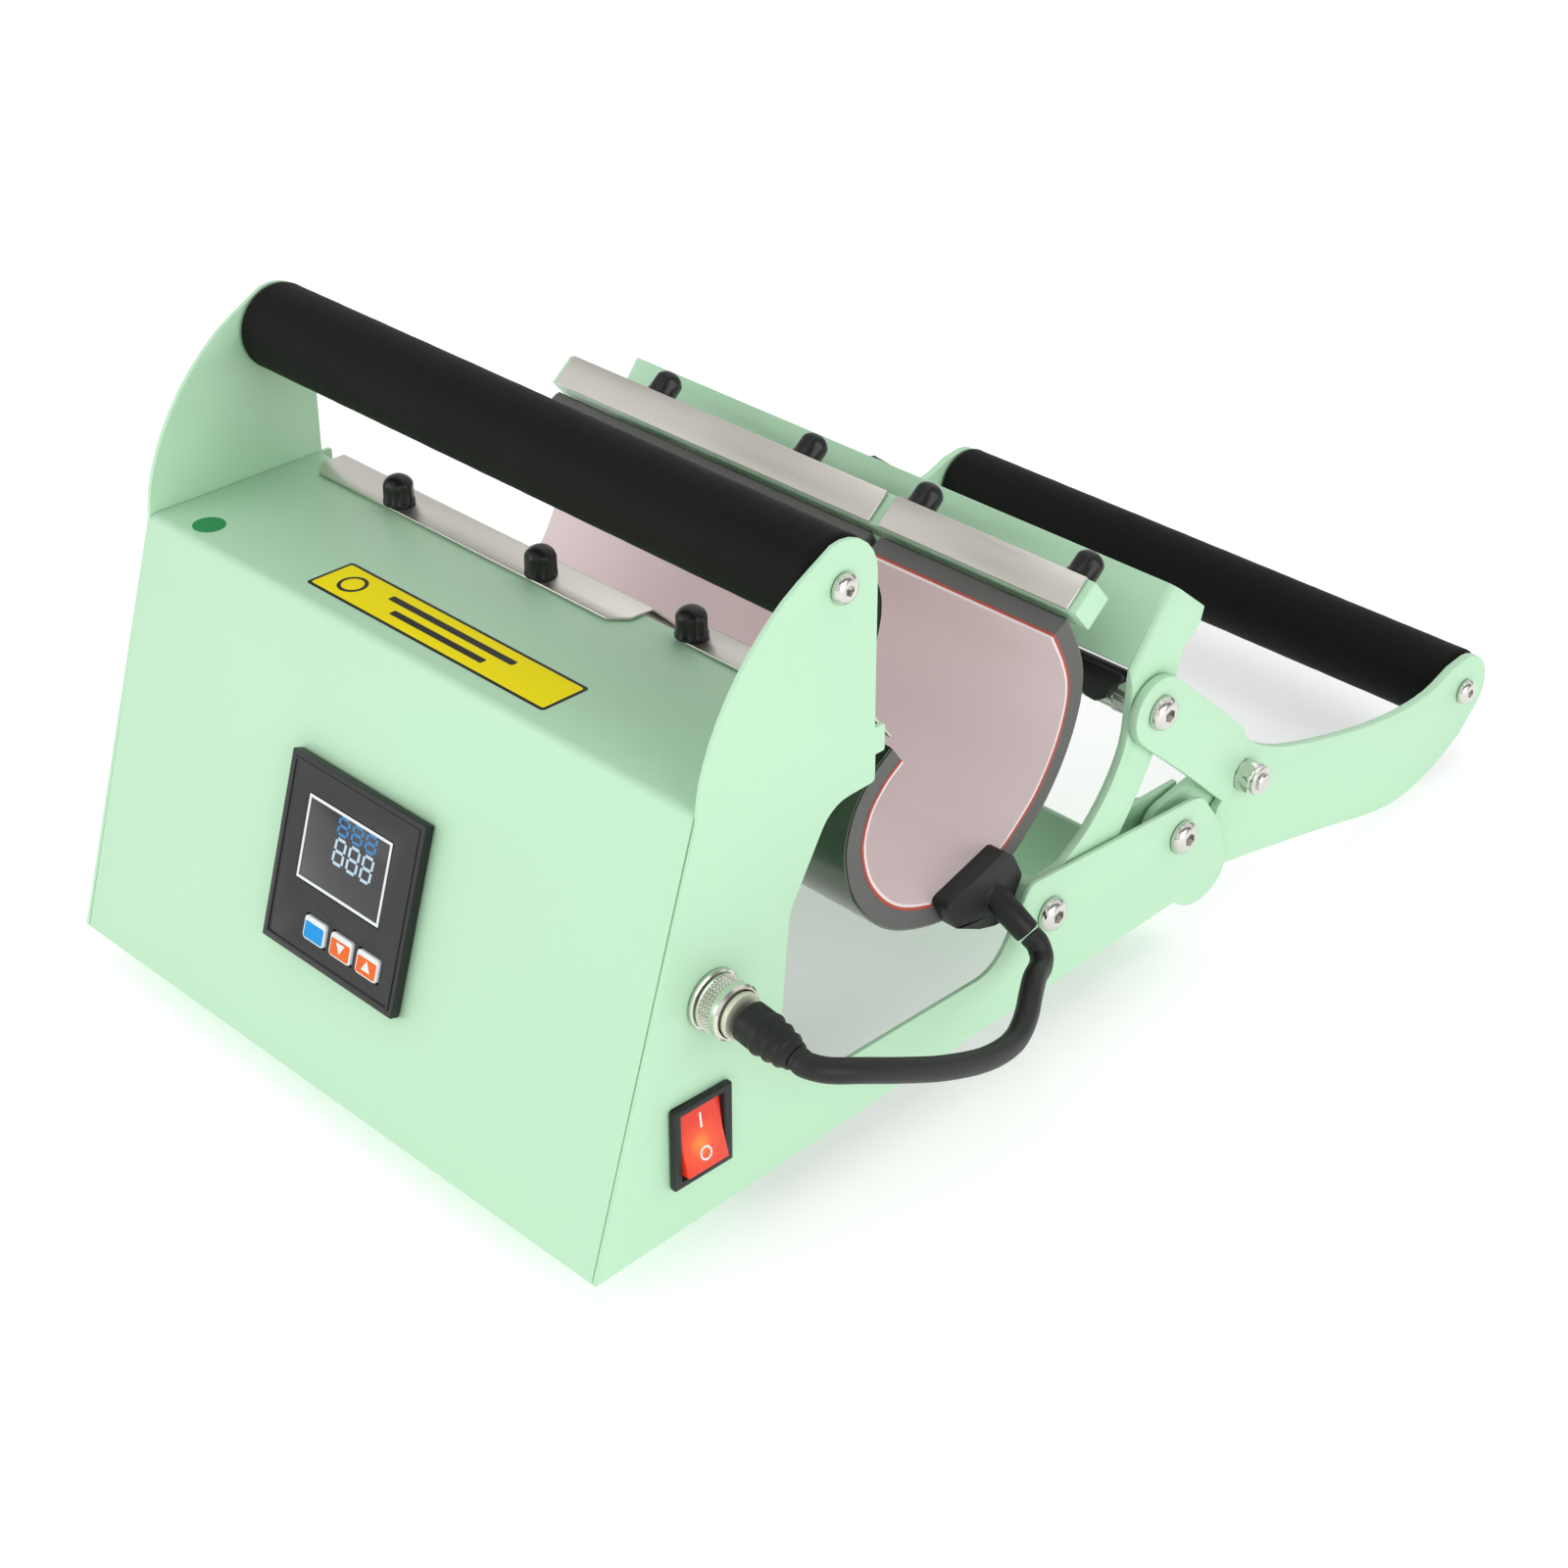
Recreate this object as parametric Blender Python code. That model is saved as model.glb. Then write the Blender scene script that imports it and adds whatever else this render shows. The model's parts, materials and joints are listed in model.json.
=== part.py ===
"""Tumbler heat press: a sheet-steel box with a fixed grip, a U-shaped heating mat and a rear
clamp frame that a second grip swings through a linkage.

X runs along the tumbler, -Y is the control panel, +Y the rear grip, +Z up, floor at z = 0.
Side-view points below are (y, z) in millimetres, y counted from the front bottom edge.
"""
import math

import bmesh
import bpy
from mathutils import Vector
from mathutils.geometry import tessellate_polygon

# ---------------------------------------------------------------- driving dimensions, mm
WIDTH = 240.0            # over the two side plates
SHEET = 1.5              # box and side plate steel
ARM = 3.0                # arms, links and handle plates
GAP = 0.3                # air kept between neighbouring pieces
Y_MID = 206.0            # side-view y of the object's middle
BASE = 11.0              # underside of the frame above the floor
TOP = 140.0              # top panel above the floor
FOLD_Y = 40.3            # where the sloped panel meets the top panel
TOP_REAR = 104.0         # rear edge of the top panel
SECT = 24                # sides of a round hole

ARM_PIVOT = (180.0, 45.5)      # arms on the side plates
LINK_PIVOT = (241.0, 45.0)     # toggle links on the side plates
HANDLE_PIVOT = (224.5, 96.0)   # handle on the arms
TOGGLE_PIVOT = (275.0, 51.5)   # handle on the toggle links
FRONT_GRIP = (91.0, 186.0)
REAR_GRIP = (398.0, 32.0)
GRIP_R = 13.4

PLATE_OUT = WIDTH / 2
PLATE_IN = PLATE_OUT - SHEET
ARM_OUT, ARM_IN = 117.5, 114.5
HANDLE_OUT, HANDLE_IN = 121.3, 118.3
HANDLE_REAR_OUT, HANDLE_REAR_IN = 117.0, 114.0
LINK_OUT, LINK_IN = 113.3, 110.3
BOLT_R = 3.0

MAT_END = 110.0          # half length of the heating mat
MAT_SPLIT = (33.0, 37.0)  # slit between the long and the short section
MAT_THICK = 8.2
BAR_AT = (200.3, 136.8)  # centre of the rear clamp bar
BAR_TILT = math.radians(40.0)
SCREW_X = -13.0          # pressure screw and its knob
SLOPE = math.atan2(TOP - BASE, FOLD_Y - 0.6)
PANEL_FOOT = (0.6, BASE)

MM = 0.001


# ---------------------------------------------------------------- materials
def material(name, colour, rough, metal=0.0, alpha=1.0, emit=0.0):
    mat = bpy.data.materials.new(name)
    mat.use_nodes = True
    shader = mat.node_tree.nodes["Principled BSDF"]
    shader.inputs["Base Color"].default_value = (*colour, 1.0)
    shader.inputs["Roughness"].default_value = rough
    shader.inputs["Metallic"].default_value = metal
    shader.inputs["Alpha"].default_value = alpha
    shader.inputs["Emission Strength"].default_value = emit
    shader.inputs["Emission Color"].default_value = (*colour, 1.0)
    mat.diffuse_color = (*colour, alpha)
    return mat


# ---------------------------------------------------------------- shape helpers
def world(x, y, z):
    """Side-view millimetres to world metres."""
    return Vector((x * MM, (y - Y_MID) * MM, z * MM))


def circle(centre, radius, count=SECT, start=0.0):
    return [(centre[0] + radius * math.cos(start + 2 * math.pi * k / count),
             centre[1] + radius * math.sin(start + 2 * math.pi * k / count)) for k in range(count)]


def rounded(points, steps=5):
    """Closed or open corner list (y, z, radius) with each corner turned into an arc."""
    out = []
    count = len(points)
    for k, (y, z, radius) in enumerate(points):
        here = Vector((y, z))
        before = Vector(points[k - 1][:2])
        after = Vector(points[(k + 1) % count][:2])
        if radius <= 0:
            out.append((y, z))
            continue
        a = (before - here).normalized()
        b = (after - here).normalized()
        half = a.angle(b) / 2
        reach = radius / math.tan(half)
        centre = here + (a + b).normalized() * radius / math.sin(half)
        p, q = here + a * reach - centre, here + b * reach - centre
        turn = p.angle_signed(q)
        for s in range(steps + 1):
            ang = -turn * s / steps
            out.append((centre.x + p.x * math.cos(ang) - p.y * math.sin(ang),
                        centre.y + p.x * math.sin(ang) + p.y * math.cos(ang)))
    return out


def smooth_path(points, per_span=4):
    """Catmull-Rom curve through the given points."""
    ring = [Vector(p) for p in points]
    ring = [2 * ring[0] - ring[1]] + ring + [2 * ring[-1] - ring[-2]]
    out = []
    for k in range(1, len(ring) - 2):
        a, b, c, d = ring[k - 1:k + 3]
        for s in range(per_span):
            t = s / per_span
            out.append(0.5 * (2 * b + (c - a) * t + (2 * a - 5 * b + 4 * c - d) * t * t
                              + (3 * b - a - 3 * c + d) * t ** 3))
    out.append(ring[-2])
    return [tuple(p) for p in out]


def offset(path, distance):
    """The open path moved sideways, to its left for a positive distance."""
    out = []
    for k, point in enumerate(path):
        before = Vector(path[max(k - 1, 0)])
        after = Vector(path[min(k + 1, len(path) - 1)])
        along = (after - before).normalized()
        side = Vector((-along.y, along.x))
        scale = 1.0
        if 0 < k < len(path) - 1:
            one = (Vector(point) - before).normalized()
            scale = 1.0 / max(0.5, Vector((-one.y, one.x)).dot(side))
        out.append((point[0] + side.x * distance * scale, point[1] + side.y * distance * scale))
    return out


def strip(path, thickness):
    """Closed outline of a sheet whose one face is the path."""
    return list(path) + offset(path, thickness)[::-1]


def add_object(name, verts, faces, mat, origin=None, smooth=True):
    mesh = bpy.data.meshes.new(name)
    shift = Vector(origin) if origin is not None else Vector((0, 0, 0))
    mesh.from_pydata([Vector(v) - shift for v in verts], [], faces)
    work = bmesh.new()
    work.from_mesh(mesh)
    bmesh.ops.remove_doubles(work, verts=work.verts, dist=1e-6)
    bmesh.ops.recalc_face_normals(work, faces=work.faces)
    work.to_mesh(mesh)
    work.free()
    if smooth:
        mesh.shade_smooth()
        mesh.set_sharp_from_angle(angle=math.radians(32))
    if mat is not None:
        mesh.materials.append(mat)
    obj = bpy.data.objects.new(name, mesh)
    obj.location = shift
    bpy.context.scene.collection.objects.link(obj)
    return obj


def prism(name, loops, x0, x1, mat, origin=None, to_world=None):
    """Solid between x0 and x1 with the given outline; further loops are holes."""
    place = to_world or world
    flat = [p for loop in loops for p in loop]
    tris = tessellate_polygon([[Vector((p[0], p[1], 0)) for p in loop] for loop in loops])
    size = len(flat)
    verts = [place(x0, *p) for p in flat] + [place(x1, *p) for p in flat]
    faces = [tuple(t) for t in tris] + [tuple(size + i for i in reversed(t)) for t in tris]
    start = 0
    for loop in loops:
        count = len(loop)
        for k in range(count):
            a, b = start + k, start + (k + 1) % count
            faces.append((a, b, b + size, a + size))
        start += count
    return add_object(name, verts, faces, mat, origin)


def turned(name, at, axis, rings, mat, count=12, origin=None):
    """Round body along an axis: rings of (distance, radius, kind), kind 'o' round or 'h' hexagon."""
    axis = Vector(axis).normalized()
    side = axis.orthogonal().normalized()
    if abs(axis.x) > 0.9:
        side = (Vector((0, 0, 1)) - axis * axis.z).normalized()
    other = axis.cross(side)
    base = world(*at)
    verts, faces = [], []
    for dist, radius, kind in rings:
        for k in range(count):
            ang = 2 * math.pi * k / count
            r = radius
            if kind == "h":
                r = radius * math.cos(math.pi / 6) / math.cos(ang % (math.pi / 3) - math.pi / 6)
            verts.append(base + (axis * dist + (side * math.cos(ang) + other * math.sin(ang)) * r) * MM)
    for j in range(len(rings) - 1):
        for k in range(count):
            a, b = j * count + k, j * count + (k + 1) % count
            faces.append((a, b, b + count, a + count))
    faces.append(tuple(range(count))[::-1])
    faces.append(tuple(range((len(rings) - 1) * count, len(rings) * count)))
    return add_object(name, verts, faces, mat, origin)


def tube(name, at, axis, length, outer, inner, mat, count=32, chamfer=0.0, origin=None):
    """Hollow round sleeve along an axis."""
    axis = Vector(axis).normalized()
    side = Vector((0, 0, 1)) if abs(axis.x) > 0.9 else axis.orthogonal().normalized()
    other = axis.cross(side)
    base = world(*at)
    profile = [(0, inner), (0, outer - chamfer), (chamfer, outer), (length - chamfer, outer),
               (length, outer - chamfer), (length, inner)]
    if chamfer == 0:
        profile = [(0, inner), (0, outer), (length, outer), (length, inner)]
    verts, faces = [], []
    for dist, radius in profile:
        for k in range(count):
            ang = 2 * math.pi * k / count
            verts.append(base + (axis * dist + (side * math.cos(ang) + other * math.sin(ang)) * radius) * MM)
    rows = len(profile)
    for j in range(rows):
        nxt = (j + 1) % rows
        for k in range(count):
            a, b = j * count + k, j * count + (k + 1) % count
            faces.append((a, b, nxt * count + (k + 1) % count, nxt * count + k))
    return add_object(name, verts, faces, mat, origin)


def block(name, low, high, mat, bevel=0.0, origin=None):
    """Box between two side-view corners (x, y, z), its edges rounded."""
    a, b = world(*low), world(*high)
    work = bmesh.new()
    bmesh.ops.create_cube(work, size=1.0)
    for v in work.verts:
        v.co = Vector([a[i] if v.co[i] < 0 else b[i] for i in range(3)])
    if bevel:
        bmesh.ops.bevel(work, geom=work.edges[:], offset=bevel * MM, segments=2, affect="EDGES", profile=0.5)
    verts = [v.co.copy() for v in work.verts]
    faces = [[v.index for v in f.verts] for f in work.faces]
    work.free()
    return add_object(name, verts, faces, mat, origin)


def combine(target, tool, how):
    mod = target.modifiers.new(how.lower(), "BOOLEAN")
    mod.operation = how
    mod.solver = "EXACT"
    mod.object = tool
    tool.hide_render = True
    tool.display_type = "WIRE"


def button_head(x0):
    """Socket button head standing on the plane x0, then its recess."""
    return [(x0, BOLT_R, "o"), (x0, 5.5, "o"), (x0 + 0.6, 5.5, "o"), (x0 + 2.0, 4.8, "o"), (x0 + 3.1, 3.4, "o"),
            (x0 + 3.4, 2.3, "h"), (x0 + 1.5, 2.3, "h")]


def panel_place(x, s, n):
    """Point on the sloped panel: s up the slope from its foot, n out of its face."""
    along = Vector((math.cos(SLOPE), math.sin(SLOPE)))
    out = Vector((-math.sin(SLOPE), math.cos(SLOPE)))
    p = Vector(PANEL_FOOT) + along * s + out * n
    return world(x, p.x, p.y)


# ================================================================ build
for old in list(bpy.data.objects):
    bpy.data.objects.remove(old, do_unlink=True)

GREEN = material("mint_powder_coat", (0.56, 0.80, 0.59), 0.45)
STEEL = material("stainless_strip", (0.55, 0.53, 0.49), 0.35, 1.0)
CHROME = material("bright_zinc", (0.72, 0.72, 0.70), 0.22, 1.0)
FOAM = material("black_foam", (0.012, 0.012, 0.012), 0.85)
RUBBER = material("black_rubber", (0.02, 0.02, 0.02), 0.6)
PLASTIC = material("black_plastic", (0.015, 0.015, 0.017), 0.35)
PAD = material("silicone_sponge", (0.17, 0.17, 0.165), 0.8)
GLASS = material("display_window", (0.02, 0.02, 0.03), 0.08)
RED = material("lit_red_rocker", (0.85, 0.06, 0.02), 0.3, 0.0, 1.0, 0.4)
BLUE = material("blue_key", (0.02, 0.30, 0.62), 0.4)
ORANGE = material("orange_key", (0.85, 0.25, 0.05), 0.4)
NICKEL = material("nickel_plate", (0.66, 0.65, 0.60), 0.25, 1.0)

# ---- side plates: box side, ear for the front grip and rear rail in one sheet
ear = smooth_path([(40.2, 138.0), (41.6, 148.0), (45.6, 158.8), (51.6, 169.4), (60.0, 179.8),
                   (70.5, 189.0), (82.0, 195.6)], 2)
crown = [(91.0 + 13.0 * math.cos(math.radians(a)), 186.0 + 13.0 * math.sin(math.radians(a)))
         for a in range(105, -1, -15)]
plate_line = [(0.6, BASE)] + ear + crown
plate_line += rounded([(104.0, 180.0, 0), (104.0, 139.6, 0), (107.8, 139.6, 0.8), (107.8, 131.4, 0.8),
                       (104.3, 131.4, 0), (104.3, 123.2, 1.5), (88.0, 122.6, 12.0), (72.6, 96.0, 14.0),
                       (67.0, 36.2, 24.0), (156.5, 36.4, 14.0), (171.0, 59.2, 5.0), (250.2, 55.6, 9.0),
                       (260.8, 41.0, 6.0), (266.2, 22.0, 9.0), (249.0, BASE, 15.0)])
SWITCH_BOX = [(28.6, 29.6), (47.8, 29.0), (47.8, 54.0), (28.6, 54.6)]
CONNECTOR_AT = (44.0, 83.0)
INLET_BOX = [(24.0, 28.0), (52.0, 28.0), (52.0, 48.0), (24.0, 48.0)]

for side, tag in ((1, "right"), (-1, "left")):
    holes = [circle(FRONT_GRIP, 2.8, 12), circle(ARM_PIVOT, 3.3), circle(LINK_PIVOT, 3.3)]
    if side > 0:
        holes += [SWITCH_BOX, circle(CONNECTOR_AT, 7.6)]
    else:
        holes += [INLET_BOX]
    prism(f"side_plate_{tag}", [plate_line] + holes, side * PLATE_IN, side * PLATE_OUT, GREEN)

# ---- sloped control panel and top panel in one folded sheet, its rear edge turned down
fold = rounded([(PANEL_FOOT[0], BASE, 0), (FOLD_Y, TOP, 3.0), (TOP_REAR, TOP, 2.0),
                (TOP_REAR, TOP - 14.0, 0)])
cover = prism("front_cover", [strip(fold, -SHEET)], -PLATE_IN + GAP, PLATE_IN - GAP, GREEN)
window = prism("cutter_panel_window", [[(-30.4, 38.2), (25.6, 38.2), (25.6, 92.6), (-30.4, 92.6)]],
               -8.0, 8.0, None, to_world=lambda n, x, s: panel_place(x, s, n))
combine(cover, window, "DIFFERENCE")

# ---- floor and back wall of the box in one folded sheet
back = rounded([(PANEL_FOOT[0] + 2.4, BASE, 0), (62.0, BASE, 4.0), (72.0, 96.0, 12.0),
                (86.5, 121.0, 12.0), (101.8, 123.0, 3.0), (101.8, 137.0, 0)])
prism("base_pan", [strip(back, SHEET)], -PLATE_IN + GAP, PLATE_IN - GAP, GREEN)

# ---- rear channel with a floor, tying the two rails
web = [(-108.5, 210.0), (108.5, 210.0), (108.5, 252.0), (106.5, 252.0), (106.5, 212.0),
       (-106.5, 212.0), (-106.5, 252.0), (-108.5, 252.0)]
channel = prism("rear_channel", [web], BASE + 1.0, 55.0, GREEN, to_world=lambda z, x, y: world(x, y, z))
channel_floor = block("tool_channel_floor", (-108.0, 210.5, BASE), (108.0, 252.0, BASE + 2.0), None)
combine(channel, channel_floor, "UNION")
bore = turned("cutter_channel_bore", (-115.0, *LINK_PIVOT), (1, 0, 0), [(0, 3.3, "o"), (230.0, 3.3, "o")], None)
combine(channel, bore, "DIFFERENCE")

# ---- control unit: frame with display window, and three keys
FACE, KEY_FLOOR, LENS_FLOOR = 3.6, 1.1, 1.8
unit = prism("controller_housing", [[(-32.3, 36.2), (27.5, 36.2), (27.5, 94.4), (-32.3, 94.4)]], 0.3, FACE,
             PLASTIC, to_world=lambda n, x, s: panel_place(x, s, n))
unit_body = prism("tool_controller_body", [[(-30.0, 38.6), (25.2, 38.6), (25.2, 92.2), (-30.0, 92.2)]],
                  -32.0, 1.0, None, to_world=lambda n, x, s: panel_place(x, s, n))
combine(unit, unit_body, "UNION")
KEYS = (("key_set", -9.3, BLUE), ("key_down", 2.8, ORANGE), ("key_up", 14.8, ORANGE))
KEY_W, KEY_LOW, KEY_HIGH, KEY_TRAVEL = 9.6, 43.4, 50.6, 0.8
LENS = (-21.8, 59.0, 15.7, 84.6)
sockets = [(x - KEY_W / 2 - GAP, KEY_LOW - GAP, x + KEY_W / 2 + GAP, KEY_HIGH + GAP, KEY_FLOOR)
           for _, x, _ in KEYS]
sockets.append((LENS[0] - GAP, LENS[1] - GAP, LENS[2] + GAP, LENS[3] + GAP, LENS_FLOOR))
for k, (xa, sa, xb, sb, floor) in enumerate(sockets):
    cut = prism(f"cutter_controller_{k}", [[(xa, sa), (xb, sa), (xb, sb), (xa, sb)]], floor, 8.0, None,
                to_world=lambda n, x, s: panel_place(x, s, n))
    combine(unit, cut, "DIFFERENCE")
for name, x, colour in KEYS:
    prism(name, [rounded([(x - KEY_W / 2, KEY_LOW, 1.2), (x + KEY_W / 2, KEY_LOW, 1.2),
                          (x + KEY_W / 2, KEY_HIGH, 1.2), (x - KEY_W / 2, KEY_HIGH, 1.2)], 3)],
          KEY_FLOOR + KEY_TRAVEL + 0.3, FACE + 0.7, colour,
          origin=panel_place(x, (KEY_LOW + KEY_HIGH) / 2, 5.0),
          to_world=lambda n, a, s: panel_place(a, s, n))
prism("display_lens", [[(LENS[0], LENS[1]), (LENS[2], LENS[1]), (LENS[2], LENS[3]), (LENS[0], LENS[3])]],
      LENS_FLOOR + 0.3, FACE - 0.2, GLASS, to_world=lambda n, x, s: panel_place(x, s, n))

# ---- mains rocker switch in the right plate
SW_Y, SW_Z, SW_HALF_Y, SW_HALF_Z = 38.2, 41.8, 10.6, 12.9
switch = block("switch_housing", (PLATE_OUT + GAP, SW_Y - SW_HALF_Y, SW_Z - SW_HALF_Z),
               (PLATE_OUT + 2.4, SW_Y + SW_HALF_Y, SW_Z + SW_HALF_Z), PLASTIC)
switch_body = block("tool_switch_body", (PLATE_OUT - 18.0, SW_Y - 9.2, SW_Z - 11.8),
                    (PLATE_OUT + 1.0, SW_Y + 9.2, SW_Z + 11.8), None)
combine(switch, switch_body, "UNION")
switch_well = block("cutter_switch_well", (PLATE_OUT - 8.0, SW_Y - 7.9, SW_Z - 10.8),
                    (PLATE_OUT + 6.0, SW_Y + 7.9, SW_Z + 10.8), None)
combine(switch, switch_well, "DIFFERENCE")
ROCKER_X = PLATE_OUT - 0.6
rocker_line = [(PLATE_OUT - 2.6, -9.4), (PLATE_OUT + 4.4, -9.2), (PLATE_OUT + 1.9, -0.5),
               (PLATE_OUT + 0.5, 9.7), (PLATE_OUT - 4.2, 9.0), (PLATE_OUT - 4.2, 2.0)]
prism("switch_rocker", [rocker_line], -7.4, 7.4, RED, origin=world(ROCKER_X, SW_Y, SW_Z),
      to_world=lambda y, x, z: world(x, SW_Y + y, SW_Z + z))

# ---- heater socket, its plug, the lead and the moulded end on the mat
turned("mat_socket", (PLATE_OUT, *CONNECTOR_AT), (1, 0, 0),
       [(-12.0, 7.1, "o"), (0.3, 7.1, "o"), (0.3, 8.8, "o"), (1.6, 8.8, "o"), (1.6, 6.7, "o"),
        (5.3, 6.7, "o")],
       NICKEL, 24)
tube("plug_ring", (PLATE_OUT + 2.0, *CONNECTOR_AT), (1, 0, 0), 8.0, 8.2, 7.1, NICKEL, 30, 0.5,
     origin=world(PLATE_OUT, *CONNECTOR_AT))
turned("plug_body", (PLATE_OUT + 5.9, *CONNECTOR_AT), (1, 0, 0),
       [(0, 6.1, "o"), (4.5, 6.1, "o"), (4.5, 6.8, "o"), (6.1, 6.6, "o")], NICKEL, 24)
turned("plug_boot", (PLATE_OUT + 13.4, 44.0, 83.0), (0.975, 0.03, -0.18),
       [(0, 6.0, "o"), (5.6, 6.1, "o"), (7.4, 6.4, "o"), (9.2, 5.4, "o"), (11.0, 5.9, "o"), (12.8, 5.0, "o"),
        (14.4, 5.3, "o"), (16.0, 4.3, "o"), (17.5, 4.1, "o")], RUBBER, 20)

lead_route = [(150.85, 44.53, 79.79), (152.4, 44.58, 79.49), (154.2, 44.63, 79.16), (158.6, 48.2, 78.0),
              (161.8, 57.5, 74.8), (163.8, 71.5, 68.3), (163.5, 87.5, 60.5), (160.5, 106.6, 51.9),
              (155.5, 123.6, 46.0), (150.0, 135.2, 45.2), (143.9, 144.4, 46.0), (138.8, 152.0, 45.6),
              (135.4, 158.2, 44.2), (132.6, 162.0, 45.0), (130.17, 162.71, 47.94), (128.82, 162.35, 49.08),
              (127.75, 162.07, 49.99)]
lead_curve = bpy.data.curves.new("mat_lead", "CURVE")
lead_curve.dimensions = "3D"
lead_curve.bevel_depth = 3.5 * MM
lead_curve.bevel_resolution = 2
lead_curve.use_fill_caps = True
spline = lead_curve.splines.new("POLY")
spline.points.add(len(lead_route) - 1)
for point, p in zip(spline.points, lead_route):
    point.co = (*world(*p), 1.0)
lead_curve.materials.append(RUBBER)
bpy.context.scene.collection.objects.link(bpy.data.objects.new("mat_lead", lead_curve))

boot_line = rounded([(137.5, 65.5, 2.0), (143.0, 55.5, 3.0), (153.0, 50.6, 4.0), (162.0, 48.0, 5.0),
                     (167.0, 53.0, 5.0), (171.0, 61.5, 3.0), (167.0, 69.5, 3.0), (162.0, 73.5, 2.0)], 4)
terminal = prism("mat_terminal_boot", [boot_line], MAT_END + GAP, MAT_END + 6.7, RUBBER)
neck = turned("tool_terminal_neck", (114.0, 158.4, 61.6), (13.5, 3.6, -11.4),
              [(-1.8, 3.0, "o"), (4.0, 3.9, "o"), (10.0, 4.2, "o"), (17.6, 4.0, "o")], None, 20)
combine(terminal, neck, "UNION")

# ---- mains inlet in the left plate
inlet = block("power_inlet", (-PLATE_OUT - 2.6, 22.6, 26.4), (-PLATE_OUT - GAP, 53.4, 49.6), PLASTIC, 0.6)
inlet_body = block("tool_inlet_body", (-PLATE_OUT - 1.0, 25.0, 28.6), (-PLATE_OUT + 20.0, 51.0, 47.4), None)
combine(inlet, inlet_body, "UNION")
inlet_well = block("cutter_inlet_well", (-PLATE_OUT - 6.0, 26.6, 30.4), (-PLATE_OUT + 15.0, 49.4, 45.6), None)
combine(inlet, inlet_well, "DIFFERENCE")

# ---- four rubber feet under the pan and the channel
for tag, x, y in (("front_left", -84.0, 38.0), ("front_right", 84.0, 38.0),
                  ("rear_left", -90.0, 230.0), ("rear_right", 90.0, 230.0)):
    turned(f"foot_{tag}", (x, y, 0.0), (0, 0, 1),
           [(0, 7.0, "o"), (1.0, 8.0, "o"), (9.0, 9.0, "o"), (BASE - GAP, 9.0, "o")], RUBBER)

# ---- fixed grip across the ears
def grip_rod(name, at, inner, outer):
    """Round bar between two plates with a screwed button head outside each."""
    reach = inner - GAP
    head = outer + GAP
    half = [(reach, 9.2, "o"), (reach, 2.5, "o"), (head, 2.5, "o"), (head, 4.4, "o"), (head + 0.5, 4.4, "o"),
            (head + 1.6, 3.9, "o"), (head + 2.5, 2.7, "o"), (head + 2.7, 1.7, "h"), (head + 1.3, 1.7, "h")]
    rings = [(-d, r, kind) for d, r, kind in half[::-1]] + half
    return turned(name, (0.0, *at), (1, 0, 0), rings, CHROME)


grip_rod("front_grip_rod", FRONT_GRIP, PLATE_IN, PLATE_OUT)
tube("front_grip_foam", (-PLATE_IN + GAP, *FRONT_GRIP), (1, 0, 0), 2 * (PLATE_IN - GAP), GRIP_R, 9.6, FOAM, 40,
     1.0)

# ---- front flaps of the mat on the top panel, with cap nuts
FRONT_STRIPS = (("long", -MAT_END + 0.6, MAT_SPLIT[0] - 1.0, 92.4, 105.4),
                ("short", MAT_SPLIT[1] + 10.0, MAT_END - 0.6, 98.4, 109.4))
for tag, xa, xb, y0, y1 in FRONT_STRIPS:
    flap = rounded([(y0, TOP + GAP, 0), (y1, TOP + GAP, 1.5), (121.3, 124.9, 0)])
    flap_strip = prism(f"front_strip_{tag}", [strip(flap, 0.9)], xa, xb, STEEL)
    corner = prism(f"cutter_strip_{tag}", [[(xa - 2, y0 - 2), (xa + 7, y0 - 2), (xa - 2, y0 + 7)]],
                   TOP - 1, TOP + 3, None, to_world=lambda z, x, y: world(x, y, z))
    combine(flap_strip, corner, "DIFFERENCE")
    corner = prism(f"cutter_strip_end_{tag}", [[(xb + 2, y0 - 2), (xb + 2, y0 + 7), (xb - 7, y0 - 2)]],
                   TOP - 1, TOP + 3, None, to_world=lambda z, x, y: world(x, y, z))
    combine(flap_strip, corner, "DIFFERENCE")

CAP_RINGS = [(0, 4.9, "o"), (4.8, 4.8, "o"), (6.9, 4.3, "o"), (8.3, 3.0, "o"), (9.0, 1.0, "o")]
for tag, x, y in (("1", -70.5, 96.6), ("2", -5.5, 96.6), ("3", 51.5, 102.2), ("4", 104.0, 102.2)):
    turned(f"front_cap_{tag}", (x, y, TOP + 2 * GAP + 0.9), (0, 0, 1), CAP_RINGS, PLASTIC, 16)

# ---- heating mat: the front and floor part stays, the rear wall rides the clamp arms
front_wall = smooth_path([(121.2, 122.2), (113.6, 116.6), (106.4, 107.0), (103.5, 93.0), (108.4, 76.5),
                          (122.0, 62.0), (143.0, 54.6), (160.0, 56.0), (170.8, 61.6)], 4)
rear_wall = smooth_path([(178.6, 67.2), (188.5, 77.0), (196.5, 90.0), (201.0, 103.0), (201.6, 114.0),
                         (198.6, 124.0), (193.2, 134.6)], 4)
SECTIONS = (("long", -MAT_END, MAT_SPLIT[0]), ("short", MAT_SPLIT[1], MAT_END))
for tag, xa, xb in SECTIONS:
    prism(f"mat_front_{tag}", [strip(front_wall, MAT_THICK)], xa, xb, PAD)
    prism(f"mat_rear_{tag}", [strip(rear_wall, MAT_THICK)], xa, xb, PAD, origin=world(0, *ARM_PIVOT))

# ---- clamp frame: two curved arms and a cross web folded from one sheet
WEB_LOW, WEB_HIGH = (216.0, 111.6), (232.6, 133.2)
web_dir = (Vector(WEB_HIGH) - Vector(WEB_LOW)).normalized()
web_in = Vector((web_dir.y, -web_dir.x))


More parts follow.
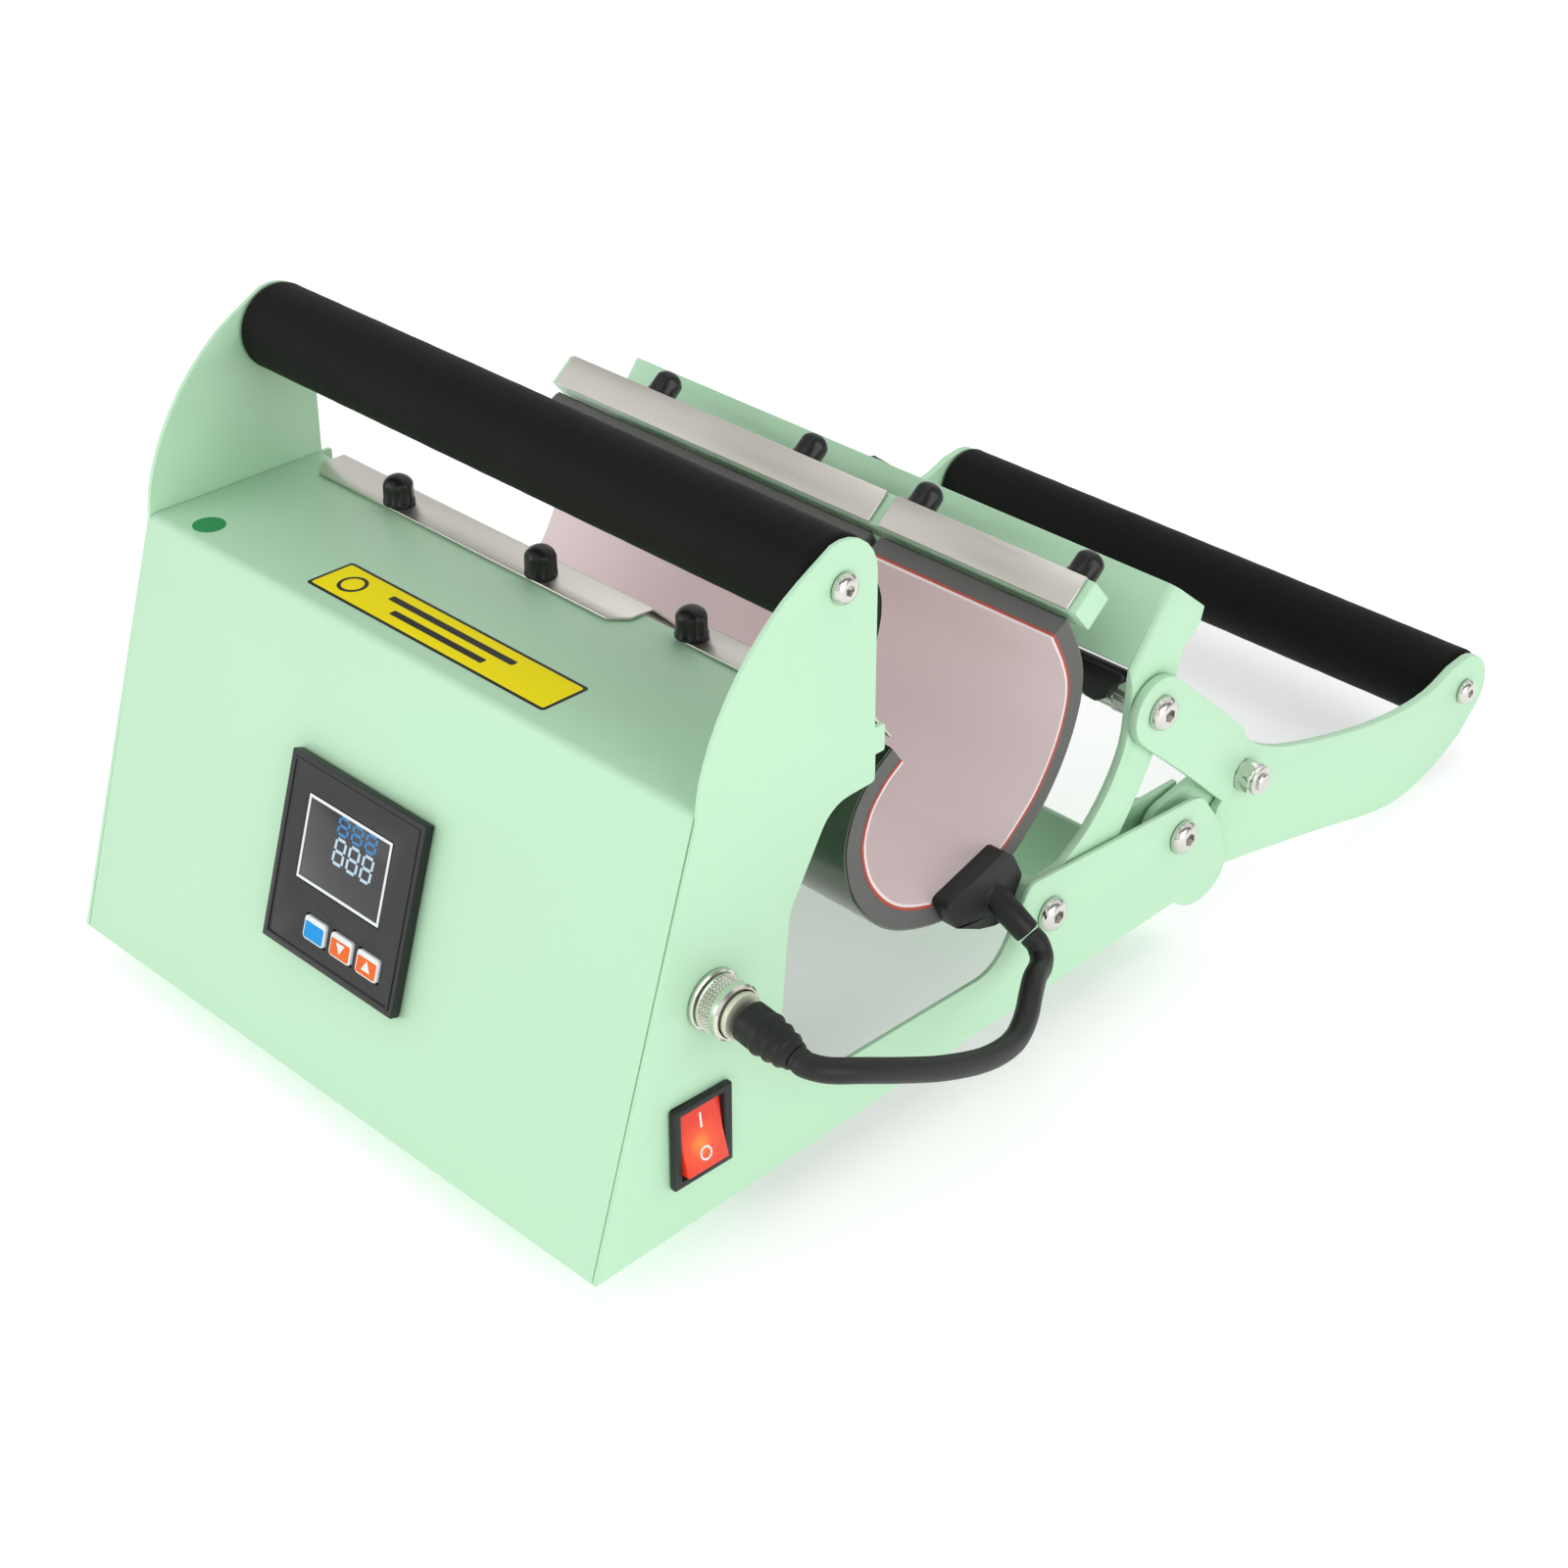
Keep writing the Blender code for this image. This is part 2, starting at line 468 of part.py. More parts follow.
def web_place(s, x, n):
    p = Vector(WEB_LOW) + web_dir * s + web_in * n
    return world(x, p.x, p.y)


arm_line = smooth_path([(188.0, 57.6), (198.4, 64.8), (207.6, 75.2), (213.6, 87.0), (215.0, 99.0),
                        (215.4, 108.0)], 3)
arm_line += [WEB_LOW] + [WEB_HIGH, (246.8, 121.4), (245.0, 115.6), (238.2, 110.6)]
arm_line += smooth_path([(234.6, 99.0), (231.4, 88.0), (225.6, 75.4), (217.6, 62.4), (207.0, 49.0),
                         (192.4, 36.6)], 3)
arm_line += [(180.0 + 13.0 * math.cos(math.radians(a)), 45.5 + 13.0 * math.sin(math.radians(a)))
             for a in range(-55, -241, -18)]
u_out = rounded([(-ARM_OUT, 160.0, 0), (-ARM_OUT, 0.0, 4.0), (ARM_OUT, 0.0, 4.0), (ARM_OUT, 160.0, 0)])
u_in = rounded([(ARM_IN, 161.0, 0), (ARM_IN, ARM, 1.0), (-ARM_IN, ARM, 1.0), (-ARM_IN, 161.0, 0)])
yoke = prism("clamp_yoke", [u_out + u_in], -130.0, 70.0, GREEN, origin=world(0, *ARM_PIVOT), to_world=web_place)
profile = prism("tool_arm_profile", [arm_line, circle(ARM_PIVOT, 3.3), circle(HANDLE_PIVOT, 3.3)],
                -130.0, 130.0, None)
combine(yoke, profile, "INTERSECT")
under_web = prism("cutter_under_web", [[(-ARM_IN, -3.0), (ARM_IN, -3.0), (ARM_IN, 12.0), (-ARM_IN, 12.0)]],
                  -40.0, 0.0, None, to_world=web_place)
combine(yoke, under_web, "DIFFERENCE")
web_mid = 0.5 * (Vector(WEB_LOW) + Vector(WEB_HIGH))
screw_cut = turned("cutter_screw_hole", (SCREW_X, web_mid.x - web_in.x * 5, web_mid.y - web_in.y * 5),
                   (0, web_in.x, web_in.y), [(0, 4.4, "o"), (14.0, 4.4, "o")], None)
combine(yoke, screw_cut, "DIFFERENCE")

# ---- rear clamp bar, the two strips on it and their cap nuts
bar_u = Vector((math.cos(BAR_TILT), math.sin(BAR_TILT)))
bar_v = Vector((-math.sin(BAR_TILT), math.cos(BAR_TILT)))


def bar_point(u, v):
    p = Vector(BAR_AT) + bar_u * u + bar_v * v
    return (p.x, p.y)


def bar_box(name, xa, xb, ua, ub, va, vb, mat):
    loop = [bar_point(ua, va), bar_point(ub, va), bar_point(ub, vb), bar_point(ua, vb)]
    return prism(name, [loop], xa, xb, mat, origin=world(0, *ARM_PIVOT))


bar_box("clamp_bar", -112.6, 112.6, -5.5, 5.5, -5.0, 5.0, GREEN)
bar_box("rear_strip_long", -MAT_END, MAT_SPLIT[0] - 1.0, -5.5, 5.5, 5.0 + GAP, 6.4, STEEL)
bar_box("rear_strip_short", MAT_SPLIT[1] - 1.0, MAT_END, -5.5, 5.5, 5.0 + GAP, 6.4, STEEL)
for tag, x in (("1", -73.0), ("2", -7.0), ("3", 41.5), ("4", 104.0)):
    turned(f"rear_cap_{tag}", (x, *bar_point(5.5 + GAP, 0.6)), (0, bar_u.x, bar_u.y), CAP_RINGS, PLASTIC, 16)

# ---- pressure screw from the web to the bar, with its star knob
screw_axis = Vector((0, -web_in.x, -web_in.y))
bar_face = (Vector(BAR_AT) - web_mid).dot(-web_in) - 6.6
turned("pressure_screw", (SCREW_X, web_mid.x, web_mid.y), screw_axis,
       [(-9.1, 4.0, "o"), (bar_face - 2.0, 4.0, "o"), (bar_face, 2.8, "o")], CHROME)
STAR_SIDES = 48
star = []
for k in range(STAR_SIDES):
    a = 2 * math.pi * k / STAR_SIDES
    star.append(13.7 + 1.5 * math.cos(8 * a))
knob_axis = Vector((0, web_in.x, web_in.y))
knob_up = Vector((0, web_dir.x, web_dir.y))
knob_centre = Vector((SCREW_X, web_mid.x, web_mid.y)) + knob_axis * 9.4
knob_verts, knob_faces = [], []
for depth, scale in ((0.0, 0.92), (1.2, 1.0), (10.6, 1.0), (12.4, 0.86)):
    for k, radius in enumerate(star):
        a = 2 * math.pi * k / STAR_SIDES
        spoke = knob_up * math.cos(a) + Vector((1, 0, 0)) * math.sin(a)
        knob_verts.append(world(*(knob_centre + knob_axis * depth + spoke * radius * scale)))
for j in range(3):
    for k in range(STAR_SIDES):
        a, b = j * STAR_SIDES + k, j * STAR_SIDES + (k + 1) % STAR_SIDES
        knob_faces.append((a, b, b + STAR_SIDES, a + STAR_SIDES))
knob_faces.append(tuple(range(STAR_SIDES))[::-1])
knob_faces.append(tuple(range(3 * STAR_SIDES, 4 * STAR_SIDES)))
add_object("pressure_knob", knob_verts, knob_faces, PLASTIC, origin=world(*knob_centre))

# ---- tie rod on the handle pivots, with rubber bumpers in front of it under the web
tie_rings = [(106.4, 5.0, "o"), (106.6, 5.7, "h"), (112.6, 5.7, "h"), (112.8, 6.2, "o"),
             (ARM_IN - GAP, 6.2, "o"), (ARM_IN - GAP, BOLT_R, "o")] + button_head(HANDLE_OUT + GAP)
tie = [(-d, r, kind) for d, r, kind in tie_rings[::-1]] + tie_rings
turned("tie_rod", (0.0, *HANDLE_PIVOT), (1, 0, 0), tie, CHROME)
LOBE = [(86.0, 109.2), (114.2, 109.2), (114.2, 106.6), (110.6, 104.0), (107.8, 98.9), (104.2, 96.5),
        (100.2, 96.9), (96.0, 100.4), (91.0, 103.2), (86.0, 104.0)]
for side, tag in ((1, "right"), (-1, "left")):
    prism(f"bumper_{tag}", [[(side * a, b) for a, b in LOBE]], 214.4, 219.0, RUBBER,
          to_world=lambda y, x, z: world(x, y, z))

# ---- handle plates: outside the arms at the front, joggled inside the rails behind
grip_dir = (Vector(TOGGLE_PIVOT) - Vector(HANDLE_PIVOT)).normalized()
grip_nrm = Vector((-grip_dir.y, grip_dir.x))


def bar_edge(along, across):
    p = Vector(HANDLE_PIVOT) + grip_dir * along + grip_nrm * across
    return (p.x, p.y)


nose = [bar_edge(11.2 * math.cos(math.radians(a)), 11.2 * math.sin(math.radians(a))) for a in range(270, 89, -15)]
upper = smooth_path([bar_edge(52.0, 11.4), (277.6, 62.2), (288.6, 55.6), (302.0, 50.6), (322.0, 45.2),
                     (343.0, 40.8), (361.0, 38.8), (377.0, 39.4), (389.5, 43.6)], 3)
end = [(398.0 + 12.8 * math.cos(math.radians(a)), 32.0 + 12.8 * math.sin(math.radians(a)))
       for a in range(105, -46, -15)]
lower = smooth_path([(398.2, 14.2), (383.0, 6.8), (366.0, 2.9), (347.0, 4.6), (322.0, 10.4), (290.0, 17.0)], 3)
rear = rounded([(272.0, 20.4, 0), (262.2, 22.6, 5.0), (261.2, 40.6, 4.0), (*bar_edge(63.0, -13.4), 0),
                (*bar_edge(63.6, -11.0), 0)], 4)
handle_line = nose + upper + end + lower + rear
joggle_a = rounded([(-40.0, HANDLE_OUT, 0), (33.0, HANDLE_OUT, 40.0), (58.0, HANDLE_REAR_OUT, 30.0),
                    (260.0, HANDLE_REAR_OUT, 0)], 4)
joggle_b = rounded([(260.0, HANDLE_REAR_IN, 0), (57.7, HANDLE_REAR_IN, 33.0), (32.7, HANDLE_IN, 37.0),
                    (-40.0, HANDLE_IN, 0)], 4)
for side, tag in ((1, "right"), (-1, "left")):
    sheet = prism(f"handle_plate_{tag}", [joggle_a + joggle_b], -150.0, 90.0, GREEN,
                  origin=world(side * HANDLE_OUT, *HANDLE_PIVOT),
                  to_world=lambda n, a, x: world(side * x, *bar_edge(a, n)))
    cut = prism(f"tool_handle_profile_{tag}",
                [handle_line, circle(HANDLE_PIVOT, 3.3), circle(TOGGLE_PIVOT, 3.3), circle(REAR_GRIP, 2.8, 12)],
                side * 105.0, side * 130.0, None)
    combine(sheet, cut, "INTERSECT")

grip_rod("rear_grip_rod", REAR_GRIP, HANDLE_REAR_IN, HANDLE_REAR_OUT)
tube("rear_grip_foam", (-HANDLE_REAR_IN + GAP, *REAR_GRIP), (1, 0, 0), 2 * (HANDLE_REAR_IN - GAP), GRIP_R, 9.6,
     FOAM, 40, 1.0)

# ---- toggle links and the pivot bolts
link_dir = (Vector(TOGGLE_PIVOT) - Vector(LINK_PIVOT))
turn = math.degrees(math.atan2(link_dir.y, link_dir.x))
link_line = [(TOGGLE_PIVOT[0] + 9.0 * math.cos(math.radians(turn + a)),
              TOGGLE_PIVOT[1] + 9.0 * math.sin(math.radians(turn + a))) for a in range(-90, 91, 20)]
link_line += [(LINK_PIVOT[0] - 9.0 * math.cos(math.radians(turn + a)),
               LINK_PIVOT[1] - 9.0 * math.sin(math.radians(turn + a))) for a in range(-90, 91, 20)]
for side, tag in ((1, "right"), (-1, "left")):
    prism(f"toggle_link_{tag}", [link_line, circle(LINK_PIVOT, 3.3), circle(TOGGLE_PIVOT, 4.4)],
          side * LINK_IN, side * LINK_OUT, GREEN, origin=world(side * LINK_OUT, *LINK_PIVOT))
    turned(f"arm_bolt_{tag}", (0, *ARM_PIVOT), (side, 0, 0),
           [(105.9, 2.5, "o"), (106.4, BOLT_R, "o"), (108.2, BOLT_R, "o"), (108.2, 5.7, "h"), (113.2, 5.7, "h"),
            (113.3, 6.4, "o"), (ARM_IN - GAP, 6.4, "o"), (ARM_IN - GAP, BOLT_R, "o")]
           + button_head(PLATE_OUT + GAP), CHROME)
    turned(f"link_bolt_{tag}", (0, *LINK_PIVOT), (side, 0, 0),
           [(98.6, 2.5, "o"), (99.1, BOLT_R, "o"), (101.2, BOLT_R, "o"), (101.2, 5.7, "h"), (106.2, 5.7, "h"),
            (106.2, BOLT_R, "o"), (108.8, BOLT_R, "o"), (108.8, 6.2, "o"), (LINK_IN - GAP, 6.2, "o"),
            (LINK_IN - GAP, BOLT_R, "o"), (LINK_OUT + GAP, BOLT_R, "o"), (LINK_OUT + GAP, 6.2, "o"),
            (PLATE_IN - GAP, 6.2, "o"), (PLATE_IN - GAP, BOLT_R, "o")] + button_head(PLATE_OUT + GAP), CHROME)
    turned(f"toggle_bolt_{tag}", (0, *TOGGLE_PIVOT), (side, 0, 0),
           [(106.0, 3.6, "o"), (107.0, 5.2, "o"), (108.6, 5.8, "o"), (LINK_IN - GAP, 6.2, "o"),
            (LINK_IN - GAP, BOLT_R, "o"), (HANDLE_REAR_OUT + GAP, BOLT_R, "o"), (HANDLE_REAR_OUT + GAP, 5.7, "h"),
            (122.3, 5.7, "h"), (122.5, 5.0, "o"), (124.0, 4.5, "o"), (124.1, BOLT_R, "o"), (125.3, 2.5, "o")],
           CHROME)
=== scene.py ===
"""Looks of the tumbler heat press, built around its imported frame."""
import json
import math

import bmesh
import bpy
from mathutils import Matrix, Vector

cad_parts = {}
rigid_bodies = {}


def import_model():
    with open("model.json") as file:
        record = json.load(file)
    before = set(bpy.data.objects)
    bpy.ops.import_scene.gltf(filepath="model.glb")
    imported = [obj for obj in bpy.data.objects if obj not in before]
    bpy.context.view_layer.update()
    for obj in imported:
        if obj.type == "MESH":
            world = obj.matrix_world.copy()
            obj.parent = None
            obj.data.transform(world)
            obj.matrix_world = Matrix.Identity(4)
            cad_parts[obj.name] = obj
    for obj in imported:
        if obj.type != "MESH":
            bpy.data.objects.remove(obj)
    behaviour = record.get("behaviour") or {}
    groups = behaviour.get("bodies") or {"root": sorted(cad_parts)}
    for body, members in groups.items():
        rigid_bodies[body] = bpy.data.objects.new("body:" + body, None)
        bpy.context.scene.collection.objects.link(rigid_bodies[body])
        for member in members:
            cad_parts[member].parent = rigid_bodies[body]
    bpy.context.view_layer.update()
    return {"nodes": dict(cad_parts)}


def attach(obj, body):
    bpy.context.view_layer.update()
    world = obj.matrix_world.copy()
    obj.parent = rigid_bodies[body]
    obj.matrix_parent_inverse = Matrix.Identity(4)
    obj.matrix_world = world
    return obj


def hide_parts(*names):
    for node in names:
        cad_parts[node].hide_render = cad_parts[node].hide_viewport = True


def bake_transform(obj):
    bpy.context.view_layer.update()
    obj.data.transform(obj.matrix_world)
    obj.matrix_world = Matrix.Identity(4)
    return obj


for old in list(bpy.data.objects):
    bpy.data.objects.remove(old, do_unlink=True)
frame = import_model()

# ------------------------------------------------------------------ camera
# A long lens stands in front and to the operator's right, looking down on the
# press from about thirty degrees.
CAMERA_AZIMUTH, CAMERA_ELEVATION = math.radians(45.43), math.radians(31.48)
camera = bpy.data.objects.new("studio_camera", bpy.data.cameras.new("studio_camera"))
camera.data.sensor_width = 36.0
camera.data.lens = 68.67
camera.data.clip_end = 60.0
camera.location = (0.5849, -0.5936, 0.5365)
back = Vector((math.sin(CAMERA_AZIMUTH) * math.cos(CAMERA_ELEVATION),
               -math.cos(CAMERA_AZIMUTH) * math.cos(CAMERA_ELEVATION), math.sin(CAMERA_ELEVATION)))
camera.rotation_mode = "QUATERNION"
camera.rotation_quaternion = (-back).to_track_quat("-Z", "Y")
bpy.context.scene.collection.objects.link(camera)
bpy.context.scene.camera = camera

# ------------------------------------------------------------------ heater lead
# A black silicone sleeve over the heater's wires, from the boot on its round
# plug in one sagging loop to the moulded end on the mat.
MM = 0.001
Y_MID = 206.0


def at(x, y, z):
    """Side-view millimetres, y counted from the front bottom edge, to metres."""
    return Vector((x * MM, (y - Y_MID) * MM, z * MM))


def put(name, mesh, *materials):
    """Object of a finished mesh with its materials, in the scene."""
    thing = bpy.data.objects.new(name, mesh)
    for material in materials:
        mesh.materials.append(material)
    bpy.context.scene.collection.objects.link(thing)
    return thing


def turn_smooth(mesh, degrees=34):
    """Smooth shading, kept sharp at edges steeper than the given angle."""
    mesh.shade_smooth()
    mesh.set_sharp_from_angle(angle=math.radians(degrees))
    return mesh


def grain_group():
    """Fine grain of a moulded or coated surface: a height, and a soft mottle from 0 to 1."""
    group = bpy.data.node_groups.new("surface_grain", "ShaderNodeTree")
    for name, default in (("Grains per metre", 2500.0), ("Mottle per metre", 60.0)):
        entry = group.interface.new_socket(name, in_out="INPUT", socket_type="NodeSocketFloat")
        entry.default_value = default
    group.interface.new_socket("Height", in_out="OUTPUT", socket_type="NodeSocketFloat")
    group.interface.new_socket("Mottle", in_out="OUTPUT", socket_type="NodeSocketFloat")
    nodes, links = group.nodes, group.links
    inputs, outputs = nodes.new("NodeGroupInput"), nodes.new("NodeGroupOutput")
    place = nodes.new("ShaderNodeTexCoord")
    for source, sink, detail in (("Grains per metre", "Height", 3.0), ("Mottle per metre", "Mottle", 5.0)):
        noise = nodes.new("ShaderNodeTexNoise")
        noise.inputs["Detail"].default_value = detail
        links.new(place.outputs["Object"], noise.inputs["Vector"])
        links.new(inputs.outputs[source], noise.inputs["Scale"])
        links.new(noise.outputs["Fac"], outputs.inputs[sink])
    return group


GRAIN = grain_group()


def finish_of(name, colour, rough, metal=0.0, grains=2500.0, mottle=60.0, bump=0.02, tint=0.05,
              rough_span=0.12, specular=0.5):
    """Principled finish whose colour, gloss and surface vary with the grain."""
    material = bpy.data.materials.new(name)
    material.use_nodes = True
    nodes, links = material.node_tree.nodes, material.node_tree.links
    shader = nodes["Principled BSDF"]
    shader.inputs["Metallic"].default_value = metal
    shader.inputs["Specular IOR Level"].default_value = specular
    grain = nodes.new("ShaderNodeGroup")
    grain.node_tree = GRAIN
    grain.inputs["Grains per metre"].default_value = grains
    grain.inputs["Mottle per metre"].default_value = mottle
    shade = nodes.new("ShaderNodeMix")
    shade.data_type = "RGBA"
    shade.inputs["A"].default_value = (*[c * (1 - tint) for c in colour], 1)
    shade.inputs["B"].default_value = (*[min(1.0, c * (1 + tint)) for c in colour], 1)
    links.new(grain.outputs["Mottle"], shade.inputs["Factor"])
    links.new(shade.outputs["Result"], shader.inputs["Base Color"])
    gloss = nodes.new("ShaderNodeMapRange")
    gloss.inputs["To Min"].default_value = rough - rough_span / 2
    gloss.inputs["To Max"].default_value = rough + rough_span / 2
    links.new(grain.outputs["Mottle"], gloss.inputs["Value"])
    links.new(gloss.outputs["Result"], shader.inputs["Roughness"])
    relief = nodes.new("ShaderNodeBump")
    relief.inputs["Distance"].default_value = 0.0005
    relief.inputs["Strength"].default_value = bump
    links.new(grain.outputs["Height"], relief.inputs["Height"])
    links.new(relief.outputs["Normal"], shader.inputs["Normal"])
    material.diffuse_color = (*colour, 1)
    return material


SLEEVE = finish_of("silicone_sleeve", (0.014, 0.015, 0.014), 0.46, grains=1800, bump=0.06, tint=0.2,
                   specular=0.28)
MOULDED = finish_of("moulded_rubber", (0.012, 0.013, 0.012), 0.42, grains=1500, bump=0.08, tint=0.2,
                    specular=0.25)
LEAD_R = 3.5
SOCKET_Y, SOCKET_Z = 44.0, 83.0
LEAD_ROUTE = [(150.85, 44.53, 79.79), (152.4, 44.58, 79.49), (154.2, 44.63, 79.16), (158.6, 48.2, 78.0),
              (161.8, 57.5, 74.8), (163.3, 71.5, 68.3), (163.1, 87.5, 60.5), (160.5, 106.6, 51.9),
              (155.5, 123.6, 46.0), (150.0, 135.2, 45.2), (143.9, 144.4, 46.0), (138.8, 152.0, 45.6),
              (135.4, 158.2, 44.2), (132.6, 162.0, 45.0), (130.17, 162.71, 47.94), (128.82, 162.35, 49.08),
              (127.75, 162.07, 49.99)]


def smooth_path(points, per_span):
    """Catmull-Rom curve through points of any dimension."""
    ring = [Vector(p) for p in points]
    ring = [2 * ring[0] - ring[1]] + ring + [2 * ring[-1] - ring[-2]]
    path = []
    for k in range(1, len(ring) - 2):
        a, b, c, d = ring[k - 1:k + 3]
        for s in range(per_span):
            t = s / per_span
            path.append(0.5 * (2 * b + (c - a) * t + (2 * a - 5 * b + 4 * c - d) * t * t
                               + (3 * b - a - 3 * c + d) * t ** 3))
    return path + [ring[-2]]


lead_path = [at(*p) for p in smooth_path(LEAD_ROUTE, 4)]
lead_curve = bpy.data.curves.new("heater_lead", "CURVE")
lead_curve.dimensions = "3D"
lead_curve.bevel_depth = LEAD_R * MM
lead_curve.bevel_resolution = 8
lead_curve.use_fill_caps = True
run = lead_curve.splines.new("POLY")
run.points.add(len(lead_path) - 1)
for point, p in zip(run.points, lead_path):
    point.co = (*p, 1.0)
lead_curve.materials.append(SLEEVE)
lead = bpy.data.objects.new("heater_lead", lead_curve)
bpy.context.scene.collection.objects.link(lead)
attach(lead, "frame")
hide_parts("mat_lead")


NEAR_X = 0.9


def lathe(name, start, axis, rings, sides=48):
    """Turned mesh: rings of (distance, radius, kind) in mm, kind 'o' round or 'h' hexagon."""
    axis = Vector(axis).normalized()
    side = axis.orthogonal().normalized()
    if abs(axis.x) > NEAR_X:
        side = (Vector((0, 0, 1)) - axis * axis.z).normalized()
    other = axis.cross(side)
    work = bmesh.new()
    rows = []
    for distance, radius, kind in rings:
        row = []
        for k in range(sides):
            angle = 2 * math.pi * k / sides
            reach = radius
            if kind == "h":
                reach *= math.cos(math.pi / 6) / math.cos(angle % (math.pi / 3) - math.pi / 6)
            spoke = side * math.cos(angle) + other * math.sin(angle)
            row.append(work.verts.new(at(*start) + (axis * distance + spoke * reach) * MM))
        rows.append(row)
    for low, high in zip(rows, rows[1:]):
        for k in range(sides):
            work.faces.new((low[k], low[(k + 1) % sides], high[(k + 1) % sides], high[k]))
    work.faces.new(rows[0][::-1])
    work.faces.new(rows[-1])
    mesh = bpy.data.meshes.new(name)
    work.to_mesh(mesh)
    work.free()
    return turn_smooth(mesh)


BOOT_AT, BOOT_WAY = (133.4, SOCKET_Y, SOCKET_Z), (0.975, 0.03, -0.18)
BOOT_RIBS = [(5.6, 5.95), (7.4, 6.3), (9.2, 5.4), (11.0, 5.85), (12.8, 4.95), (14.4, 5.2), (15.8, 4.35),
             (17.2, 4.1), (17.5, 3.7)]
boot_rings = [(0.0, 5.4, "o"), (0.5, 5.95, "o"), (3.0, 6.0, "o"), (5.4, 6.0, "o")]
for distance, radius in smooth_path(BOOT_RIBS, 4):
    boot_rings.append((distance, radius, "o"))
boot = put("lead_boot", lathe("lead_boot", BOOT_AT, BOOT_WAY, boot_rings), MOULDED)
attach(boot, "frame")
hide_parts("plug_boot")


MERGE, FLAT = 2e-6, 0.5


def eased(node, width, material, body, degrees=40):
    """Copy of a cut or moulded piece with its edges broken by a small radius."""
    work = bmesh.new()
    work.from_mesh(frame["nodes"][node].data)
    bmesh.ops.remove_doubles(work, verts=work.verts, dist=MERGE)
    bmesh.ops.dissolve_limit(work, angle_limit=math.radians(FLAT), verts=work.verts, edges=work.edges)
    mesh = bpy.data.meshes.new(node + "_eased")
    work.to_mesh(mesh)
    work.free()
    piece = put(node + "_eased", mesh)
    bevel = piece.modifiers.new("edge", "BEVEL")
    bevel.width = width * MM
    bevel.segments = 2
    bevel.limit_method = "ANGLE"
    bevel.angle_limit = math.radians(degrees)
    bevel.use_clamp_overlap = False
    bevel.miter_outer = "MITER_SHARP"
    bpy.context.view_layer.update()
    done = bpy.data.meshes.new_from_object(piece.evaluated_get(bpy.context.evaluated_depsgraph_get()))
    piece.modifiers.clear()
    piece.data = turn_smooth(done, 30)
    piece.data.materials.clear()
    piece.data.materials.append(material)
    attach(piece, body)
    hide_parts(node)
    return piece


terminal = eased("mat_terminal_boot", 0.7, MOULDED, "frame", 55)

# ------------------------------------------------------------------ painted steel box and rails
# Laser-cut and folded sheet steel under a satin mint powder coat. The two side
# plates carry everything, and the folded panels are fixed between them.
POWDER = finish_of("mint_powder_coat", (0.455, 0.705, 0.49), 0.44, grains=1400, mottle=14, bump=0.035,
                   tint=0.02, rough_span=0.08)
for node in ("side_plate_right", "side_plate_left", "front_cover", "base_pan", "rear_channel"):
    eased(node, 0.22, POWDER, "frame")

# ------------------------------------------------------------------ labels
# A plain yellow caution-coloured strip with a black rim and a round green
# inspection dot, both thin vinyl stuck on the top panel.
TOP = 140.0
VINYL_YELLOW = finish_of("yellow_vinyl", (0.95, 0.80, 0.002), 0.45, grains=3000, bump=0.01, tint=0.03,
                         specular=0.15)
VINYL_BLACK = finish_of("black_vinyl", (0.012, 0.012, 0.012), 0.35, grains=3000, bump=0.01, tint=0.1)
VINYL_GREEN = finish_of("green_vinyl", (0.0, 0.24, 0.06), 0.35, grains=3000, bump=0.01, tint=0.05)


def slab(name, outline, low, high, place, material, body, slot, bevel=0.0):
    """Flat piece with the given outline between two heights of a place function."""
    work = bmesh.new()
    rows = [[work.verts.new(place(x, y, h)) for x, y in outline] for h in (low, high)]
    count = len(outline)
    for k in range(count):
        work.faces.new((rows[0][k], rows[0][(k + 1) % count], rows[1][(k + 1) % count], rows[1][k]))
    work.faces.new(rows[0][::-1])
    work.faces.new(rows[1])
    bmesh.ops.recalc_face_normals(work, faces=work.faces)
    if bevel:
        edges = [e for e in work.edges if e.calc_face_angle(0) > 0.6]
        bmesh.ops.bevel(work, geom=edges, offset=bevel * MM, segments=2, affect="EDGES", profile=0.5)
    mesh = bpy.data.meshes.new(name)
    work.to_mesh(mesh)
    work.free()
    piece = put(name, turn_smooth(mesh), material)
    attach(piece, body)
    return piece


def round_box(x0, y0, x1, y1, radius, steps=5):
    """Outline of a rectangle with round corners."""
    line = []
    for cx, cy, first in ((x1 - radius, y1 - radius, 0), (x0 + radius, y1 - radius, 90),
                          (x0 + radius, y0 + radius, 180), (x1 - radius, y0 + radius, 270)):
        for s in range(steps + 1):
            angle = math.radians(first + 90 * s / steps)
            line.append((cx + radius * math.cos(angle), cy + radius * math.sin(angle)))
    return line


def disc(x, y, radius, sides=40):
    """Outline of a circle."""
    return [(x + radius * math.cos(2 * math.pi * k / sides), y + radius * math.sin(2 * math.pi * k / sides))
            for k in range(sides)]


def on_top(x, y, height):
    """Point over the top panel."""
    return at(x, y, TOP + height)


def sticker(name, outline, low, high, material):
    """Piece of vinyl on the top panel."""
    slab(name, outline, low, high, on_top, material, "frame", "plastic")


